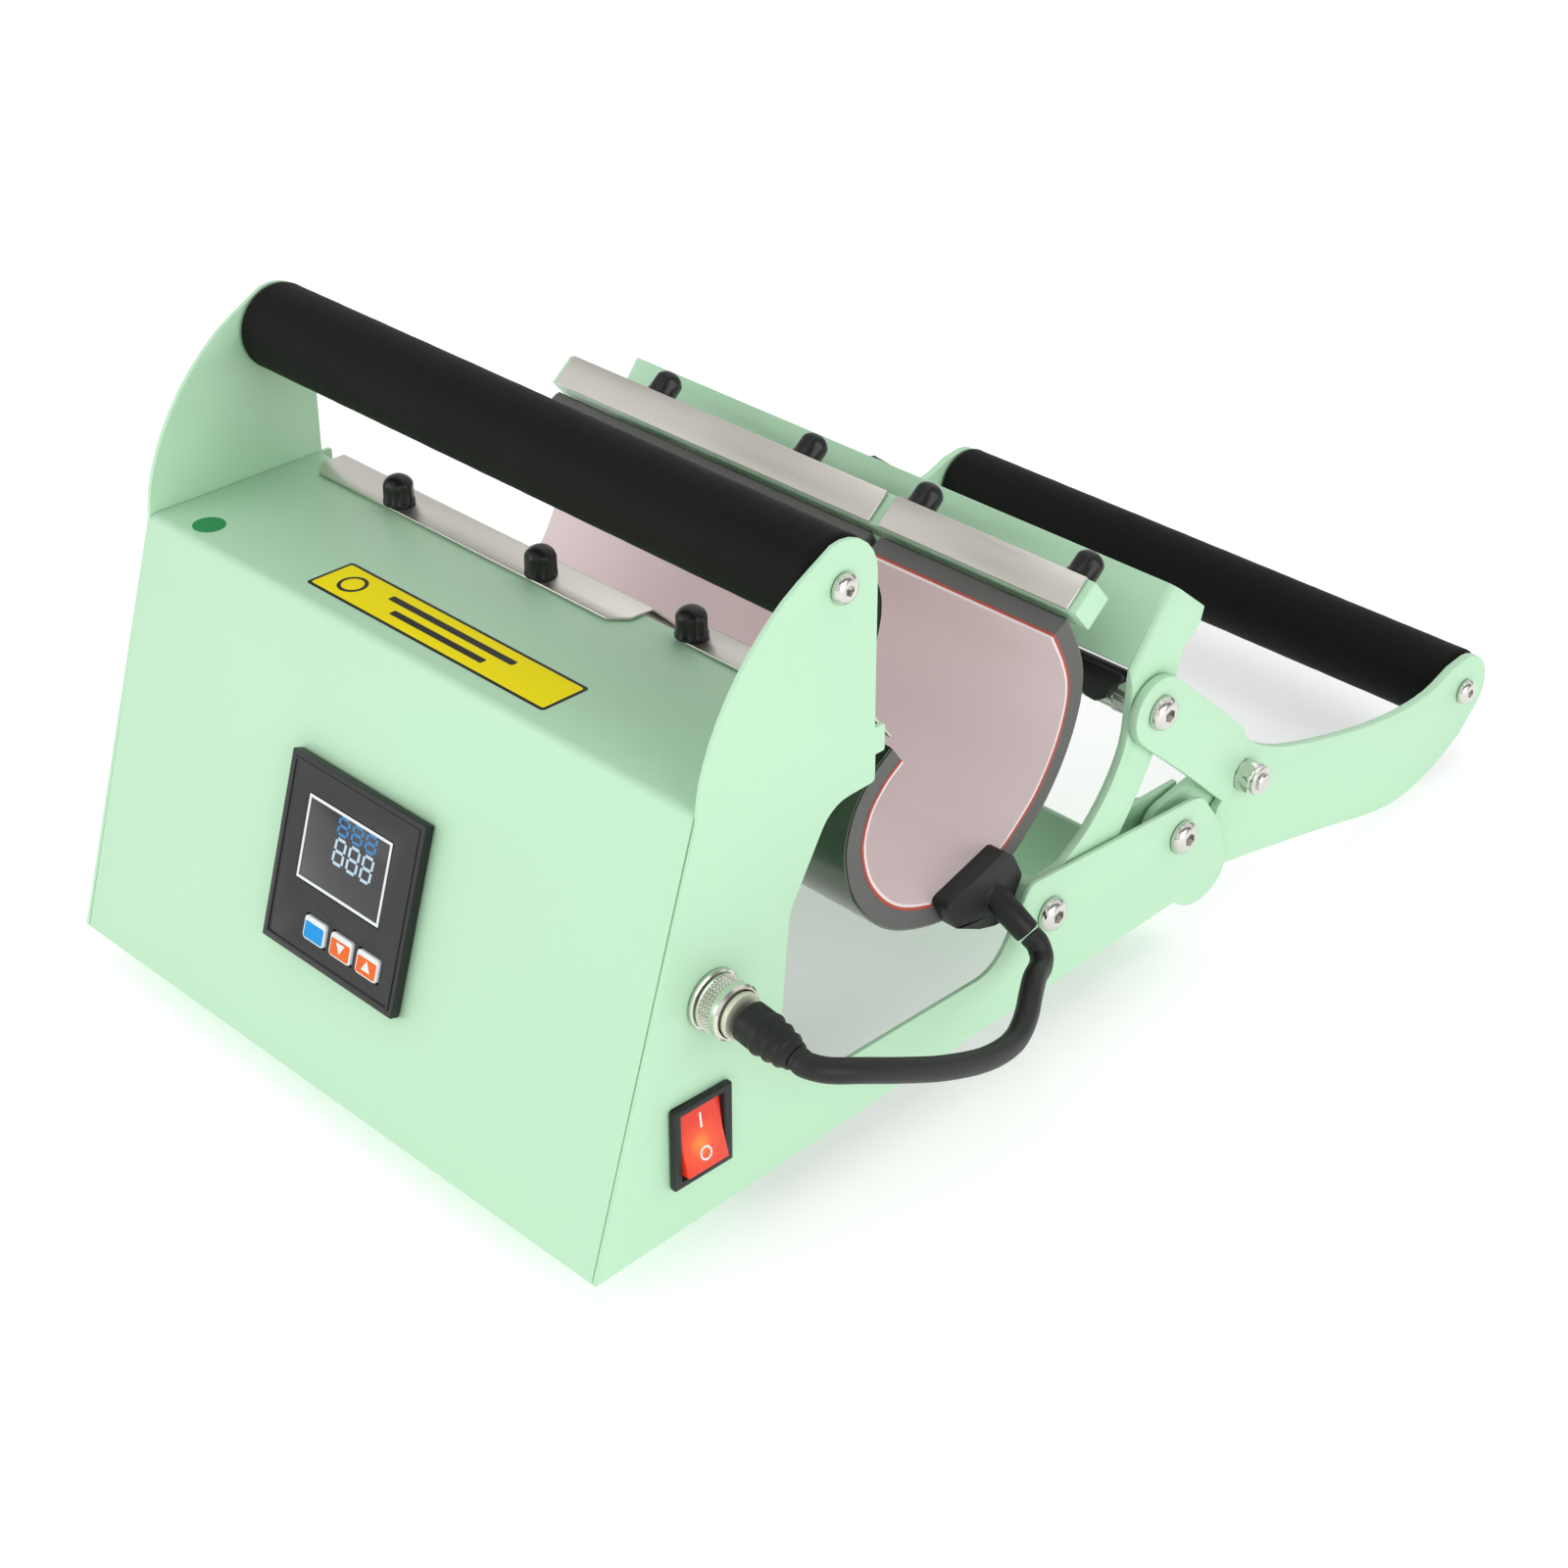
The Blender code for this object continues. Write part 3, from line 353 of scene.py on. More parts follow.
RING_AT, BAR_WIDE = (-40.0, 55.6), 2.4
sticker("label_rim", round_box(-51.0, 47.2, 52.5, 64.0, 1.2), 0.02, 0.08, VINYL_BLACK)
sticker("label_field", round_box(-49.9, 48.3, 51.4, 62.9, 0.8), 0.06, 0.12, VINYL_YELLOW)
for k, (left, right, y) in enumerate(((-26.0, 28.0, 57.2), (-19.0, 21.0, 52.0))):
    sticker(f"label_bar_{k}", round_box(left, y, right, y + BAR_WIDE, 0.5), 0.1, 0.15, VINYL_BLACK)
sticker("label_ring", disc(*RING_AT, 4.6), 0.1, 0.15, VINYL_BLACK)
sticker("label_ring_centre", disc(*RING_AT, 3.4), 0.13, 0.18, VINYL_YELLOW)
sticker("inspection_dot", disc(-100.2, 48.7, 5.0), 0.02, 0.1, VINYL_GREEN)

# ------------------------------------------------------------------ controller
# A black clip-in temperature and time unit: moulded frame, smoked window with
# seven-segment digits, and three white keys with coloured faces, two with arrows.
PANEL_FOOT_Y, PANEL_FOOT_Z, PANEL_RUN = 0.6, 11.0, 39.7
SLOPE = math.atan2(TOP - PANEL_FOOT_Z, PANEL_RUN)
HOUSING = finish_of("moulded_black_plastic", (0.016, 0.017, 0.0165), 0.38, grains=2200, bump=0.03, tint=0.12,
                    specular=0.3)
WINDOW = finish_of("smoked_window", (0.040, 0.040, 0.043), 0.16, mottle=25, bump=0.0, tint=0.3, specular=0.3)
WHITE_INK = finish_of("white_ink", (0.72, 0.75, 0.76), 0.4, grains=3000, bump=0.01, tint=0.03)
KEY_BLUE = finish_of("blue_key", (0.002, 0.27, 0.66), 0.4, grains=2000, bump=0.02, tint=0.06,
                     specular=0.2)
KEY_ORANGE = finish_of("orange_key", (0.74, 0.125, 0.008), 0.4, grains=2000, bump=0.02, tint=0.06,
                       specular=0.2)


def lit(name, colour, strength, rough=0.4):
    """Printed or moulded piece with light behind it."""
    material = finish_of(name, colour, rough, mottle=180, bump=0.01, tint=0.12)
    shader = material.node_tree.nodes["Principled BSDF"]
    shader.inputs["Emission Color"].default_value = (*colour, 1)
    shader.inputs["Emission Strength"].default_value = strength
    return material


DIGIT_PALE = lit("pale_segments", (0.36, 0.47, 0.56), 0.25)
DIGIT_BLUE = lit("blue_segments", (0.012, 0.14, 0.34), 0.3)


def on_panel(x, s, n):
    """Point on the sloped panel: s up its slope from the foot, n out of its face."""
    y = PANEL_FOOT_Y + s * math.cos(SLOPE) - n * math.sin(SLOPE)
    z = PANEL_FOOT_Z + s * math.sin(SLOPE) + n * math.cos(SLOPE)
    return at(x, y, z)


eased("controller_housing", 0.35, HOUSING, "frame")
eased("display_lens", 0.15, WINDOW, "frame")
WINDOW_EDGE, BEZEL_EDGE = (-21.8, 59.0, 15.7, 84.6), (-30.6, 37.9, 25.8, 92.7)
LINE_PRINT, BEZEL_RISE, DIGIT_PRINT = (3.42, 3.5), (3.5, 3.85), (3.42, 3.48)
KEY_PRINT, ARROW_PRINT = (4.3, 4.36), (4.36, 4.42)


def frame_line(name, x0, s0, x1, s1, width, low, high, material):
    """Rectangular line of four thin bars on the panel."""
    for tag, bar in (("low", (x0, s0, x1, s0 + width)), ("high", (x0, s1 - width, x1, s1)),
                     ("left", (x0, s0 + width, x0 + width, s1 - width)),
                     ("right", (x1 - width, s0 + width, x1, s1 - width))):
        corners = [(bar[0], bar[1]), (bar[2], bar[1]), (bar[2], bar[3]), (bar[0], bar[3])]
        slab(f"{name}_{tag}", corners, low, high, on_panel, material, "frame", "plastic")


frame_line("window_line", *WINDOW_EDGE, 0.9, *LINE_PRINT, WHITE_INK)
frame_line("bezel_step", *BEZEL_EDGE, 0.7, *BEZEL_RISE, HOUSING)
SEGMENTS = ((0, 2, "flat"), (0, 1, "flat"), (0, 0, "flat"),
            (0, 0, "up"), (1, 0, "up"), (0, 1, "up"), (1, 1, "up"))
SEGMENT_GAP, DIGIT_LEAN = 0.42, 0.08


def digit(name, x, s, wide, tall, thick, material):
    """A seven-segment figure with every bar lit, leaning a little to the right."""
    for k, (column, row, way) in enumerate(SEGMENTS):
        gap = thick * SEGMENT_GAP
        if way == "flat":
            left, right = x + gap, x + wide - gap
            low, high = s + row * tall / 2 - thick / 2, s + row * tall / 2 + thick / 2
            bar = [(left, low), (right, low), (right, high), (left, high)]
        else:
            left = x + column * wide - thick / 2
            low = s + row * tall / 2 + gap
            bar = [(left, low), (left + thick, low), (left + thick, low + tall / 2 - 2 * gap),
                   (left, low + tall / 2 - 2 * gap)]
        bar = [(a + DIGIT_LEAN * (b - s), b) for a, b in bar]
        slab(f"{name}_{k}", bar, *DIGIT_PRINT, on_panel, material, "frame", "plastic")


DIGIT_PITCH, DIGIT_WIDE, SEGMENT_WIDE = 6.2, 4.1, 0.95
for k in range(3):
    digit(f"set_digit_{k}", -7.8 + DIGIT_PITCH * k, 69.3, DIGIT_WIDE, 7.4, SEGMENT_WIDE, DIGIT_PALE)
    digit(f"heat_digit_{k}", -7.6 + DIGIT_PITCH * k, 78.2, DIGIT_WIDE, 5.0, SEGMENT_WIDE, DIGIT_BLUE)
KEYS = (("key_set", "set_key", -9.3, KEY_BLUE, "blue_key"),
        ("key_down", "down_key", 2.8, KEY_ORANGE, "orange_key"),
        ("key_up", "up_key", 14.8, KEY_ORANGE, "orange_key"))
for node, body, x, colour, slot in KEYS:
    eased(node, 0.3, WHITE_INK, body)
    face = round_box(x - 4.2, 43.9, x + 4.2, 49.0, 0.5)
    slab(f"{node}_print", face, *KEY_PRINT, on_panel, colour, body, slot)
ARROW_S = 46.8
for body, node, x, tip in (("down_key", "key_down", 2.8, -1), ("up_key", "key_up", 14.8, 1)):
    base = ARROW_S - 1.5 * tip
    slab(f"{node}_arrow", [(x - 1.9, base), (x + 1.9, base), (x, ARROW_S + 1.7 * tip)], *ARROW_PRINT,
         on_panel, WHITE_INK, body, "plastic")

# ------------------------------------------------------------------ power switch and inlet
# A snap-in rocker with a red lens lit by a neon lamp and marked with the usual
# line and circle, and a mains inlet on the other side plate.
eased("switch_housing", 0.4, HOUSING, "frame")
eased("power_inlet", 0.4, HOUSING, "frame")
ROCKER = lit("lit_red_lens", (0.62, 0.030, 0.010), 0.42, 0.22)
lens_nodes, lens_links = ROCKER.node_tree.nodes, ROCKER.node_tree.links
lens_place = lens_nodes.new("ShaderNodeTexCoord")
lens_map = lens_nodes.new("ShaderNodeMapping")
NEON_AT = at(122.6, 37.2, 40.2)
lens_map.inputs["Location"].default_value = tuple(-c for c in NEON_AT)
lens_ball = lens_nodes.new("ShaderNodeVectorMath")
lens_ball.operation = "LENGTH"
lens_ramp = lens_nodes.new("ShaderNodeValToRGB")
lens_ramp.color_ramp.elements[0].position = 0.0
lens_ramp.color_ramp.elements[0].color = (1.0, 0.62, 0.05, 1)
NEON_REACH = 0.0048
lens_ramp.color_ramp.elements[1].position = NEON_REACH
lens_ramp.color_ramp.elements[1].color = (0.42, 0.022, 0.006, 1)
lens_links.new(lens_place.outputs["Object"], lens_map.inputs["Vector"])
lens_links.new(lens_map.outputs["Vector"], lens_ball.inputs[0])
lens_links.new(lens_ball.outputs["Value"], lens_ramp.inputs["Fac"])
lens_links.new(lens_ramp.outputs["Color"], lens_nodes["Principled BSDF"].inputs["Emission Color"])
eased("switch_rocker", 0.35, ROCKER, "power_rocker", 25)
ROCKER_Y, ROCKER_Z = 38.2, 41.8
HEEL, WAIST, TIP = (124.4, -9.2), (121.9, -0.5), (120.5, 9.7)


def on_rocker(low, high):
    """Place function on one face of the rocker, between two points of its side view."""
    low, high = Vector(low), Vector(high)
    up = (high - low).normalized()
    out = Vector((up.y, -up.x))

    def place(y, s, n):
        p = low + up * s + out * n
        return at(p.x, ROCKER_Y + y, ROCKER_Z + p.y)
    return place


slab("rocker_mark_on", [(-0.35, 3.4), (0.35, 3.4), (0.35, 8.0), (-0.35, 8.0)], 0.02, 0.1,
     on_rocker(WAIST, TIP), WHITE_INK, "power_rocker", "red_rocker")
RING_UP, RING_SIDES = 4.6, 32
ring_mesh = bmesh.new()
ring_place = on_rocker(HEEL, WAIST)
ring_rows = []
for radius, height in ((1.5, 0.02), (1.5, 0.1), (2.1, 0.1), (2.1, 0.02)):
    row = []
    for a in range(RING_SIDES):
        angle = a * math.pi / (RING_SIDES / 2)
        spot = ring_place(radius * math.cos(angle), RING_UP + radius * math.sin(angle), height)
        row.append(ring_mesh.verts.new(spot))
    ring_rows.append(row)
for low, high in zip(ring_rows, ring_rows[1:] + ring_rows[:1]):
    for j in range(RING_SIDES):
        ring_mesh.faces.new((low[j], low[(j + 1) % RING_SIDES], high[(j + 1) % RING_SIDES], high[j]))
bmesh.ops.recalc_face_normals(ring_mesh, faces=ring_mesh.faces)
ring_data = bpy.data.meshes.new("rocker_mark_off")
ring_mesh.to_mesh(ring_data)
ring_mesh.free()
mark_off = put("rocker_mark_off", turn_smooth(ring_data), WHITE_INK)
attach(mark_off, "power_rocker")

# ------------------------------------------------------------------ heater socket and plug
# A nickel-plated round aviation-type socket in the side plate, the plug's shell
# and its knurled ring, which turns freely.
NICKEL = finish_of("nickel_plate", (0.70, 0.685, 0.63), 0.2, 1.0, grains=1600, mottle=120, bump=0.02,
                   tint=0.06)
SATIN_NICKEL = finish_of("satin_nickel", (0.62, 0.63, 0.50), 0.5, 0.55, grains=1600, mottle=120,
                         bump=0.04, tint=0.05)
SOCKET_X, SHELL_X, RING_X, KNURL_X = 120.0, 125.9, 122.0, 123.15
socket_rings = [(-12.0, 6.8, "o"), (-11.8, 7.0, "o"), (0.3, 7.0, "o"), (0.3, 8.5, "o"), (0.5, 8.8, "o"),
                (1.3, 8.8, "o"), (1.6, 8.4, "o"), (1.6, 6.7, "o"), (5.2, 6.7, "o"), (5.3, 6.4, "o")]
socket = put("heater_socket", lathe("heater_socket", (SOCKET_X, SOCKET_Y, SOCKET_Z), (1, 0, 0),
                                    socket_rings), NICKEL)
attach(socket, "frame")
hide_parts("mat_socket")
shell_rings = [(0.0, 5.8, "o"), (0.2, 6.1, "o"), (4.5, 6.1, "o"), (4.5, 6.5, "o"), (4.7, 6.8, "o"),
               (5.8, 6.75, "o"), (6.05, 6.5, "o")]
shell = put("plug_shell", lathe("plug_shell", (SHELL_X, SOCKET_Y, SOCKET_Z), (1, 0, 0), shell_rings),
            SATIN_NICKEL)
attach(shell, "frame")
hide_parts("plug_body")


def add_sockets(tree, *sockets):
    """Named inputs of a geometry tree."""
    tree.interface.new_socket("Geometry", in_out="INPUT", socket_type="NodeSocketGeometry")
    for name, kind in sockets:
        tree.interface.new_socket(name, in_out="INPUT", socket_type=kind)
    tree.interface.new_socket("Geometry", in_out="OUTPUT", socket_type="NodeSocketGeometry")


def copies_tree(name):
    """Tree that sets a copy of one piece on every point, turned to the point's own direction."""
    tree = bpy.data.node_groups.new(name, "GeometryNodeTree")
    add_sockets(tree, ("Piece", "NodeSocketObject"), ("Finish", "NodeSocketMaterial"))
    nodes, links = tree.nodes, tree.links
    entry, leave = nodes.new("NodeGroupInput"), nodes.new("NodeGroupOutput")
    source = nodes.new("GeometryNodeObjectInfo")
    heading = nodes.new("GeometryNodeInputNamedAttribute")
    heading.data_type = "FLOAT_VECTOR"
    heading.inputs["Name"].default_value = "heading"
    spread = nodes.new("GeometryNodeInstanceOnPoints")
    solid = nodes.new("GeometryNodeRealizeInstances")
    finish = nodes.new("GeometryNodeSetMaterial")
    links.new(entry.outputs["Geometry"], spread.inputs["Points"])
    links.new(entry.outputs["Piece"], source.inputs["Object"])
    links.new(source.outputs["Geometry"], spread.inputs["Instance"])
    links.new(heading.outputs["Attribute"], spread.inputs["Rotation"])
    links.new(spread.outputs["Instances"], solid.inputs["Geometry"])
    links.new(solid.outputs["Geometry"], finish.inputs["Geometry"])
    links.new(entry.outputs["Finish"], finish.inputs["Material"])
    links.new(finish.outputs["Geometry"], leave.inputs["Geometry"])
    return tree


COPIES = copies_tree("copies_on_points")


def copies(name, pattern, places, material, body, replaced=()):
    """One mesh of copies of a pattern piece at (point, turn) places, made by the tree."""
    points = bpy.data.meshes.new(name + "_points")
    points.from_pydata([point for point, turn in places], [], [])
    headings = points.attributes.new("heading", "FLOAT_VECTOR", "POINT")
    for entry, (point, turn) in zip(headings.data, places):
        entry.vector = turn
    carrier = put(name, points)
    spread = carrier.modifiers.new("spread", "NODES")
    spread.node_group = COPIES
    named = {item.name: item.identifier for item in COPIES.interface.items_tree if item.in_out == "INPUT"}
    spread[named["Piece"]] = pattern
    spread[named["Finish"]] = material
    bpy.context.view_layer.update()
    mesh = bpy.data.meshes.new_from_object(carrier.evaluated_get(bpy.context.evaluated_depsgraph_get()))
    carrier.modifiers.clear()
    carrier.data = mesh
    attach(carrier, body)
    for node in replaced:
        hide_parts(node)
    return carrier


ring_rings = [(0.0, 7.1, "o"), (0.0, 7.7, "o"), (0.4, 8.15, "o"), (0.9, 8.15, "o"), (1.1, 7.85, "o"),
              (5.0, 7.85, "o"), (5.2, 8.15, "o"), (7.2, 8.15, "o"), (8.0, 7.5, "o"), (8.0, 7.1, "o"),
              (0.0, 7.1, "o")]
ring = put("knurled_ring", lathe("knurled_ring", (RING_X, SOCKET_Y, SOCKET_Z), (1, 0, 0), ring_rings),
           NICKEL)
ring_clean = bmesh.new()
ring_clean.from_mesh(ring.data)
bmesh.ops.delete(ring_clean, geom=[f for f in ring_clean.faces if len(f.verts) > 4], context="FACES_ONLY")
bmesh.ops.remove_doubles(ring_clean, verts=ring_clean.verts, dist=1e-6)
ring_clean.to_mesh(ring.data)
ring_clean.free()
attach(ring, "coupling_ring")
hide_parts("plug_ring")
tooth = put("knurl_tooth", bpy.data.meshes.new("knurl_tooth"))
tooth_mesh = bmesh.new()
TOOTH_HALF, TOOTH_LONG, TOOTH_PITCH, TOOTH_LEAN, TOOTH_HIGH = 0.22, 0.65, 1.3, 0.55, 0.28
TOOTH_FOOT = ((-TOOTH_HALF, -TOOTH_LONG), (TOOTH_HALF, -TOOTH_LONG), (TOOTH_HALF, TOOTH_LONG),
              (-TOOTH_HALF, TOOTH_LONG))
for leaning in (-1, 1):
    for along in range(3):
        shift = TOOTH_PITCH * along
        corners = []
        for a, b in TOOTH_FOOT:
            spot = ((b + shift + TOOTH_LONG) * MM, (a + leaning * b * TOOTH_LEAN) * MM, 0.0)
            corners.append(tooth_mesh.verts.new(spot))
        ridge = [tooth_mesh.verts.new(((b + shift + TOOTH_LONG) * MM, leaning * b * TOOTH_LEAN * MM,
                                       TOOTH_HIGH * MM))
                 for b in (-TOOTH_LONG, TOOTH_LONG)]
        tooth_mesh.faces.new((corners[0], corners[3], corners[2], corners[1]))
        tooth_mesh.faces.new((corners[1], corners[2], ridge[1], ridge[0]))
        tooth_mesh.faces.new((corners[3], corners[0], ridge[0], ridge[1]))
        tooth_mesh.faces.new((corners[0], corners[1], ridge[0]))
        tooth_mesh.faces.new((corners[2], corners[3], ridge[1]))
bmesh.ops.recalc_face_normals(tooth_mesh, faces=tooth_mesh.faces)
tooth_mesh.to_mesh(tooth.data)
tooth_mesh.free()
TEETH, KNURL_R = 44, 7.83
knurl_places = []
for k in range(TEETH):
    angle = 2 * math.pi * k / TEETH
    spot = at(KNURL_X, SOCKET_Y - KNURL_R * math.sin(angle), SOCKET_Z + KNURL_R * math.cos(angle))
    knurl_places.append((spot, (angle, 0.0, 0.0)))
knurl = copies("ring_knurl", tooth, knurl_places, NICKEL, "coupling_ring")
bpy.data.objects.remove(tooth, do_unlink=True)

# ------------------------------------------------------------------ feet
# Four turned rubber feet, narrower at the floor, two of them under the box and
# two under the rear channel.
foot_rings = [(0.0, 6.4, "o"), (0.4, 7.2, "o"), (1.2, 7.9, "o"), (8.8, 9.0, "o"), (10.6, 9.0, "o"),
              (10.7, 8.6, "o")]
for tag, x, y in (("front_left", -84.0, 38.0), ("front_right", 84.0, 38.0), ("rear_left", -90.0, 230.0),
                  ("rear_right", 90.0, 230.0)):
    foot = put(f"rubber_foot_{tag}", lathe(f"rubber_foot_{tag}", (x, y, 0.0), (0, 0, 1), foot_rings), MOULDED)
    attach(foot, "frame")
    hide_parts(f"foot_{tag}")

# ------------------------------------------------------------------ grips
# Closed-cell foam sleeves pushed over steel rods, which are screwed between
# the ears in front and between the handle plates behind.
FOAM = finish_of("closed_cell_foam", (0.0055, 0.0055, 0.005), 0.62, grains=1300, mottle=35, bump=0.3,
                 tint=0.25, rough_span=0.2, specular=0.1)
ZINC = finish_of("bright_zinc_plate", (0.66, 0.645, 0.61), 0.13, 1.0, grains=900, mottle=90, bump=0.03,
                 tint=0.08)
GRIP_R, GRIP_BORE, GRIP_ROLL = 13.4, 9.7, 2.2


def foam_sleeve(name, centre, half, body, node):
    """Sleeve with rolled ends and the slight unevenness of skived foam."""
    rings = [(-half, GRIP_BORE)]
    for angle in range(0, 91, 18):
        rings.append((-half + GRIP_ROLL - GRIP_ROLL * math.cos(math.radians(angle)),
                      GRIP_R - GRIP_ROLL + GRIP_ROLL * math.sin(math.radians(angle))))
    steps = 60
    span = half - 3.0
    for k in range(steps + 1):
        skived = 0.05 * (1 + math.sin(k * 1.7) * math.cos(k * 0.6))
        rings.append((-span + 2 * span * k / steps, GRIP_R - skived))
    rings += [(-d, r) for d, r in rings[6::-1]]
    mesh = lathe(name, (0.0, *centre), (1, 0, 0), [(d, r, "o") for d, r in rings], 72)
    clean = bmesh.new()
    clean.from_mesh(mesh)
    caps = [f for f in clean.faces if len(f.verts) > 4]
    bmesh.ops.delete(clean, geom=caps, context="FACES_ONLY")
    rims = [e for e in clean.edges if e.is_boundary]
    bmesh.ops.bridge_loops(clean, edges=rims)
    bmesh.ops.recalc_face_normals(clean, faces=clean.faces)
    clean.to_mesh(mesh)
    clean.free()
    sleeve = put(name, mesh, FOAM)
    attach(sleeve, body)
    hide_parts(node)
    return sleeve


def button_rings(face, shank, head, rise, socket):
    """Button head standing on a face, with a hexagon socket in its crown."""
    rings = [(face, shank, "o"), (face, head - 0.15, "o"), (face + 0.15, head, "o"), (face + 0.5, head, "o")]
    for angle in range(15, 76, 12):
        a = math.radians(angle)
        rings.append((face + 0.5 + (rise - 0.5) * math.sin(a) / math.sin(math.radians(75)),
                      socket + 0.7 + (head - socket - 0.7) * (math.cos(a) - math.cos(math.radians(75)))
                      / (1 - math.cos(math.radians(75))), "o"))
    rings += [(face + rise, socket + 0.25, "o"), (face + rise - 0.15, socket, "h"), (face + 1.4, socket, "h")]
    return rings


def turned_piece(name, start, axis, rings, body, node):
    """Bright zinc-plated turning that stands for one node."""
    piece = put(name, lathe(name, start, axis, rings), ZINC)
    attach(piece, body)
    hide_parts(node)


def mirrored(rings):
    """Rings of both ends of a rod, from those of its right end."""
    return [(-d, r, kind) for d, r, kind in rings[::-1]] + rings


for tag, centre, inner, outer, body in (("front", (91.0, 186.0), 118.5, 120.0, "frame"),
                                        ("rear", (398.0, 32.0), 114.0, 117.0, "rear_handle")):
    foam_sleeve(f"{tag}_foam_sleeve", centre, inner - 0.3, body, f"{tag}_grip_foam")
    rod = [(inner - 0.3, 9.2, "o"), (inner - 0.3, 2.5, "o")] + button_rings(outer + 0.3, 2.5, 4.4, 2.7, 1.6)
    turned_piece(f"{tag}_rod", (0.0, *centre), (1, 0, 0), mirrored(rod), body, f"{tag}_grip_rod")

# ------------------------------------------------------------------ heating mat
# A flexible heater in two lengths: stainless band outside, grey silicone
# sponge, the red-brown heater foil and a pale heat-resistant skin inside. On the
# press it is fixed at the front and bends as the clamp frame draws its rear wall in;
# here both lengths are built in one fixed shape.
MAT_END, MAT_SPLIT = 110.0, (33.0, 37.0)
MAT_OUTER = [(121.2, 122.2), (113.6, 116.6), (106.4, 107.0), (103.5, 93.0), (108.4, 76.5), (122.0, 62.0),
             (143.0, 54.6), (160.0, 56.0), (171.0, 61.6), (178.6, 67.2), (188.5, 77.0), (196.5, 90.0),
             (201.0, 103.0), (201.6, 114.0), (198.6, 124.0), (193.2, 134.6)]
BAND = finish_of("stainless_band", (0.17, 0.185, 0.16), 0.22, 1.0, grains=700, mottle=40, bump=0.02, tint=0.1)
SPONGE = finish_of("grey_silicone_sponge", (0.105, 0.105, 0.10), 0.72, grains=1700, mottle=90,
                   bump=0.25, tint=0.12)
FOIL = finish_of("heater_foil", (0.40, 0.05, 0.025), 0.5, grains=1500, mottle=150, bump=0.05, tint=0.25)
SKIN = finish_of("pale_heater_skin", (0.76, 0.65, 0.65), 0.5, grains=1900, mottle=24, bump=0.06, tint=0.05)
mat_path = [Vector(p) for p in smooth_path(MAT_OUTER, 6)]
mat_side = []
for k, p in enumerate(mat_path):
    along = (mat_path[min(k + 1, len(mat_path) - 1)] - mat_path[max(k - 1, 0)]).normalized()
    mat_side.append(Vector((-along.y, along.x)))
# Near and far depth of the band, sponge, foil and skin, and how far each one's cut edge stands back.
LAYERS = ((0.0, 0.7, 0.35), (0.7, 6.4, 0.0), (6.4, 7.3, -0.12), (7.3, 8.2, 0.0))
STATION = 12
for tag, x0, x1 in (("long", -MAT_END, MAT_SPLIT[0]), ("short", MAT_SPLIT[1], MAT_END)):
    work = bmesh.new()
    for slot_number, (near, far, inset) in enumerate(LAYERS):
        step = max(2, int((x1 - x0) / STATION))
        stations = [x0 + inset + (x1 - x0 - 2 * inset) * j / step for j in range(step + 1)]
        sheets = []
        for depth in (near + 0.01, far - 0.01):
            sheets.append([[work.verts.new(at(x, *(p + n * depth))) for x in stations]
                           for p, n in zip(mat_path, mat_side)])
        faces = []
        for sheet_points in sheets:
            for a, b in zip(sheet_points, sheet_points[1:]):
                for j in range(step):
                    faces.append(work.faces.new((a[j], a[j + 1], b[j + 1], b[j])))
        first, second = sheets
        for j in range(step):
            faces.append(work.faces.new((first[0][j], first[0][j + 1], second[0][j + 1], second[0][j])))
            faces.append(work.faces.new((first[-1][j], first[-1][j + 1], second[-1][j + 1], second[-1][j])))
        for k in range(len(mat_path) - 1):
            for j in (0, step):
                faces.append(work.faces.new((first[k][j], first[k + 1][j], second[k + 1][j], second[k][j])))
        for face in faces:
            face.material_index = slot_number
    bmesh.ops.recalc_face_normals(work, faces=work.faces)
    mesh = bpy.data.meshes.new(f"heating_mat_{tag}")
    work.to_mesh(mesh)
    work.free()
    mat = put(f"heating_mat_{tag}", turn_smooth(mesh), BAND, SPONGE, FOIL, SKIN)
    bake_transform(mat)
    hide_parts(f"mat_front_{tag}")
    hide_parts(f"mat_rear_{tag}")

# ------------------------------------------------------------------ clamp strips and cap nuts
# Polished stainless strips pinch the mat's edges on the top panel and on the
# rear bar, and black moulded caps cover the nuts that hold them.
STRIP = finish_of("satin_stainless", (0.64, 0.615, 0.565), 0.3, 1.0, grains=500, mottle=30, bump=0.015,
                  tint=0.05)
strip_nodes, strip_links = STRIP.node_tree.nodes, STRIP.node_tree.links
streak_place = strip_nodes.new("ShaderNodeTexCoord")
streak_map = strip_nodes.new("ShaderNodeMapping")
streak_map.inputs["Scale"].default_value = (14.0, 1600.0, 1600.0)
streak = strip_nodes.new("ShaderNodeTexNoise")
streak.inputs["Scale"].default_value = 1.0
streak.inputs["Detail"].default_value = 4.0
streak_gloss = strip_nodes.new("ShaderNodeMapRange")
streak_gloss.inputs["To Min"].default_value = 0.22
streak_gloss.inputs["To Max"].default_value = 0.46
strip_links.new(streak_place.outputs["Object"], streak_map.inputs["Vector"])
strip_links.new(streak_map.outputs["Vector"], streak.inputs["Vector"])
strip_links.new(streak.outputs["Fac"], streak_gloss.inputs["Value"])
strip_links.new(streak_gloss.outputs["Result"], strip_nodes["Principled BSDF"].inputs["Roughness"])
for node, body in (("front_strip_long", "frame"), ("front_strip_short", "frame"),
                   ("rear_strip_long", "clamp_frame"), ("rear_strip_short", "clamp_frame")):
    eased(node, 0.25, STRIP, body)
CAPS = finish_of("cap_plastic", (0.010, 0.010, 0.010), 0.3, grains=1800, bump=0.03, tint=0.15, specular=0.3)
